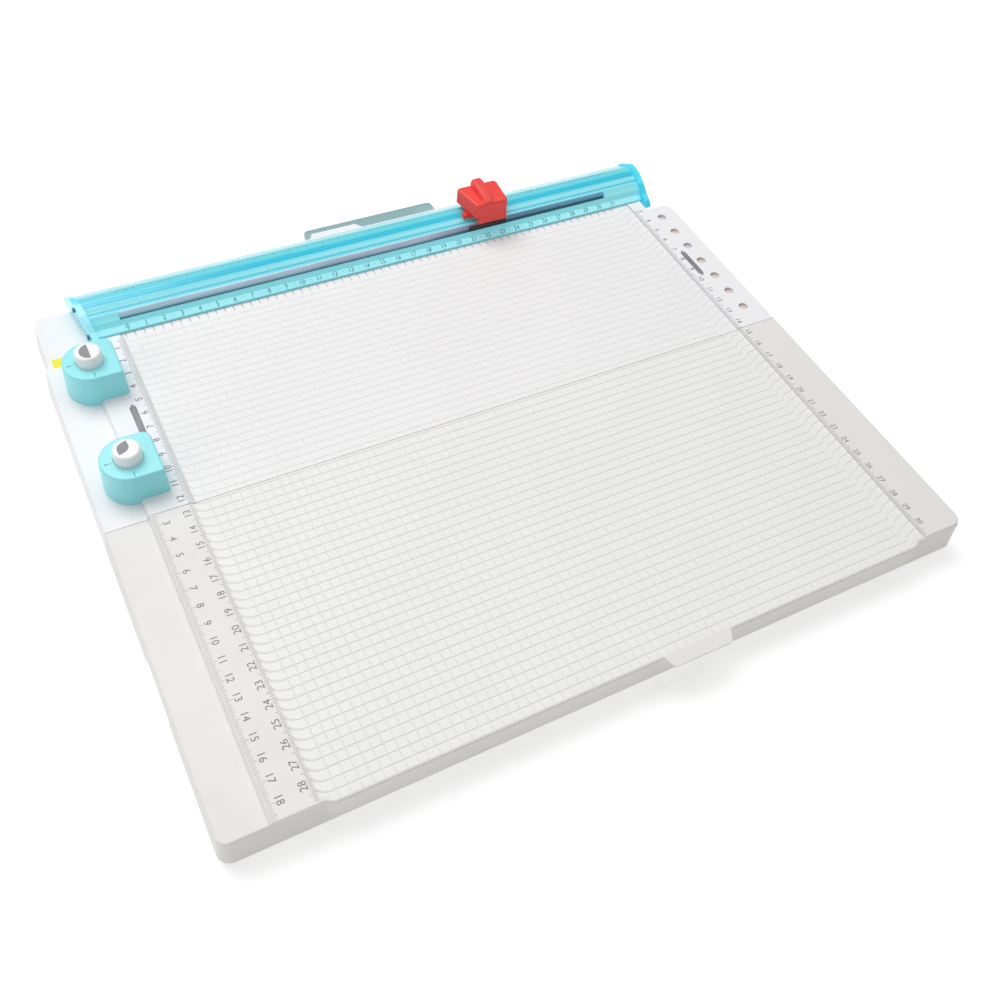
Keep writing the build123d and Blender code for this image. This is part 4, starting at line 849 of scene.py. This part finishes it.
def leaf():
    """Outline of the icon on the front knob."""
    tip, other_tip = (Vector(place) for place in LEAF_TIPS)
    along = other_tip - tip
    side = Vector((along.y, -along.x)).normalized()
    shares = [n / ICON_STEPS for n in range(ICON_STEPS + 1)]
    outer, inner = ([tip + along * share + side * bulge * math.sin(math.pi * share) for share in shares]
                    for bulge in LEAF_BULGES)
    return [tuple(p) for p in outer + inner[-2:0:-1]]


def knob_icons():
    """Half disc on the rear knob and a leaf on the front one, with index marks on the housings."""
    for side, outline in (("rear", half_disc()), ("front", leaf())):
        (x0, y0, _), (x1, y1, top) = low(side + "_punch_knob"), high(side + "_punch_knob")
        cx, cy = (x0 + x1) / 2, (y0 + y1) / 2
        icon = Sheet((cx, cy, top))
        icon.polygon(outline)
        piece(side + "_knob_icon", icon.done("icon"), "icon", side + "_knob")
        marks = Sheet((cx, cy, high(side + "_punch_housing")[2]))
        for bar in INDEX_BARS:
            marks.bar(*bar)
        marks.polygon(INDEX_ARROW)
        piece(side + "_punch_marks", marks.done("marks"), "gap", "rear_half")


LABEL_X = (-192.2, -184.0)
LABEL_Y = (112.5, 119.0)


def label():
    """Plain yellow label on the left wing."""
    sheet = Sheet((0, 0, WING_Z))
    sheet.bar(*LABEL_X, *LABEL_Y)
    piece("wing_label", sheet.done("label"), "label", "rear_half")


# ---------------------------------------------------------------- studio

WORLD_LIGHT = 0.25
FLOOR_HALF = 6.0            # metres
FLOOR_DROP = 0.0002         # metres from the feet down to the floor
FLOOR_GLOW = 0.5
LIGHTS = {                  # place, size and power, in metres and watts
    "key": ((-0.6, 1.3, 2.2), 1.8, 38.0),
    "fill": ((-1.3, -0.5, 1.0), 1.4, 4.0),
    "top": ((0.5, 0.3, 1.8), 1.6, 11.0),
}
LENS, SENSOR = 38.915, 36.0  # millimetres
CAMERA = (-0.20488, -0.33019, 0.43829)
TURN, TILT, ROLL = -34.161, 51.421, -8.595  # degrees


def studio():
    """White surroundings and the floor."""
    world = bpy.data.worlds.new("studio")
    world.use_nodes = True
    world.node_tree.nodes["Background"].inputs["Color"].default_value = (1.0, 1.0, 1.0, 1.0)
    world.node_tree.nodes["Background"].inputs["Strength"].default_value = WORLD_LIGHT
    bpy.context.scene.world = world
    bpy.context.scene.view_settings.view_transform = "Standard"

    floor_mesh = bpy.data.meshes.new("floor")
    corners = [(x * FLOOR_HALF, y * FLOOR_HALF, 0) for x, y in ((-1, -1), (1, -1), (1, 1), (-1, 1))]
    floor_mesh.from_pydata(corners, [], [(0, 1, 2, 3)])
    floor = bpy.data.objects.new("floor", floor_mesh)
    bpy.context.scene.collection.objects.link(floor)
    floor.location.z = CAD_LOW.z - FLOOR_DROP
    floor_look = Look("floor_paper", (0.62, 0.62, 0.62, 1.0), 0.9)
    floor_look.glow((1.0, 1.0, 1.0, 1.0), FLOOR_GLOW)
    floor_look.bump(floor_look.noise(200.0, 3.0), 0.0001, 0.1)
    floor_mesh.materials.append(floor_look.mat)


def lights():
    """Soft lamps that look at the middle of the part: behind on the left, from the left and from above."""
    for name, (place, size, power) in LIGHTS.items():
        lamp = bpy.data.lights.new(name, "AREA")
        lamp.shape = "DISK"
        lamp.size = size
        lamp.energy = power
        made = bpy.data.objects.new(name, lamp)
        made.location = place
        made.rotation_euler = (-Vector(place)).to_track_quat("-Z", "Y").to_euler()
        bpy.context.scene.collection.objects.link(made)


def camera():
    """The photo's view, turned about the vertical, tilted down and rolled."""
    lens = bpy.data.cameras.new("camera")
    lens.lens = LENS
    lens.sensor_width = SENSOR
    made = bpy.data.objects.new("camera", lens)
    turn, tilt, roll = (math.radians(angle) for angle in (TURN, TILT, ROLL))
    ahead = Vector((-math.sin(turn) * math.cos(tilt), math.cos(turn) * math.cos(tilt), -math.sin(tilt)))
    level = ahead.cross(Vector((0, 0, 1))).normalized()
    right = Matrix.Rotation(roll, 3, ahead) @ level
    up = right.cross(ahead)
    rows = [(right[n], up[n], -ahead[n], CAMERA[n]) for n in range(3)]
    made.matrix_world = Matrix(rows + [(0, 0, 0, 1)])
    bpy.context.scene.collection.objects.link(made)
    bpy.context.scene.camera = made


finish_cad_nodes()
score_plate("rear")
score_plate("front")
front_nosing()
board_rulers()
step_lines()
rail_rulers()
knob_icons()
label()
studio()
lights()
camera()
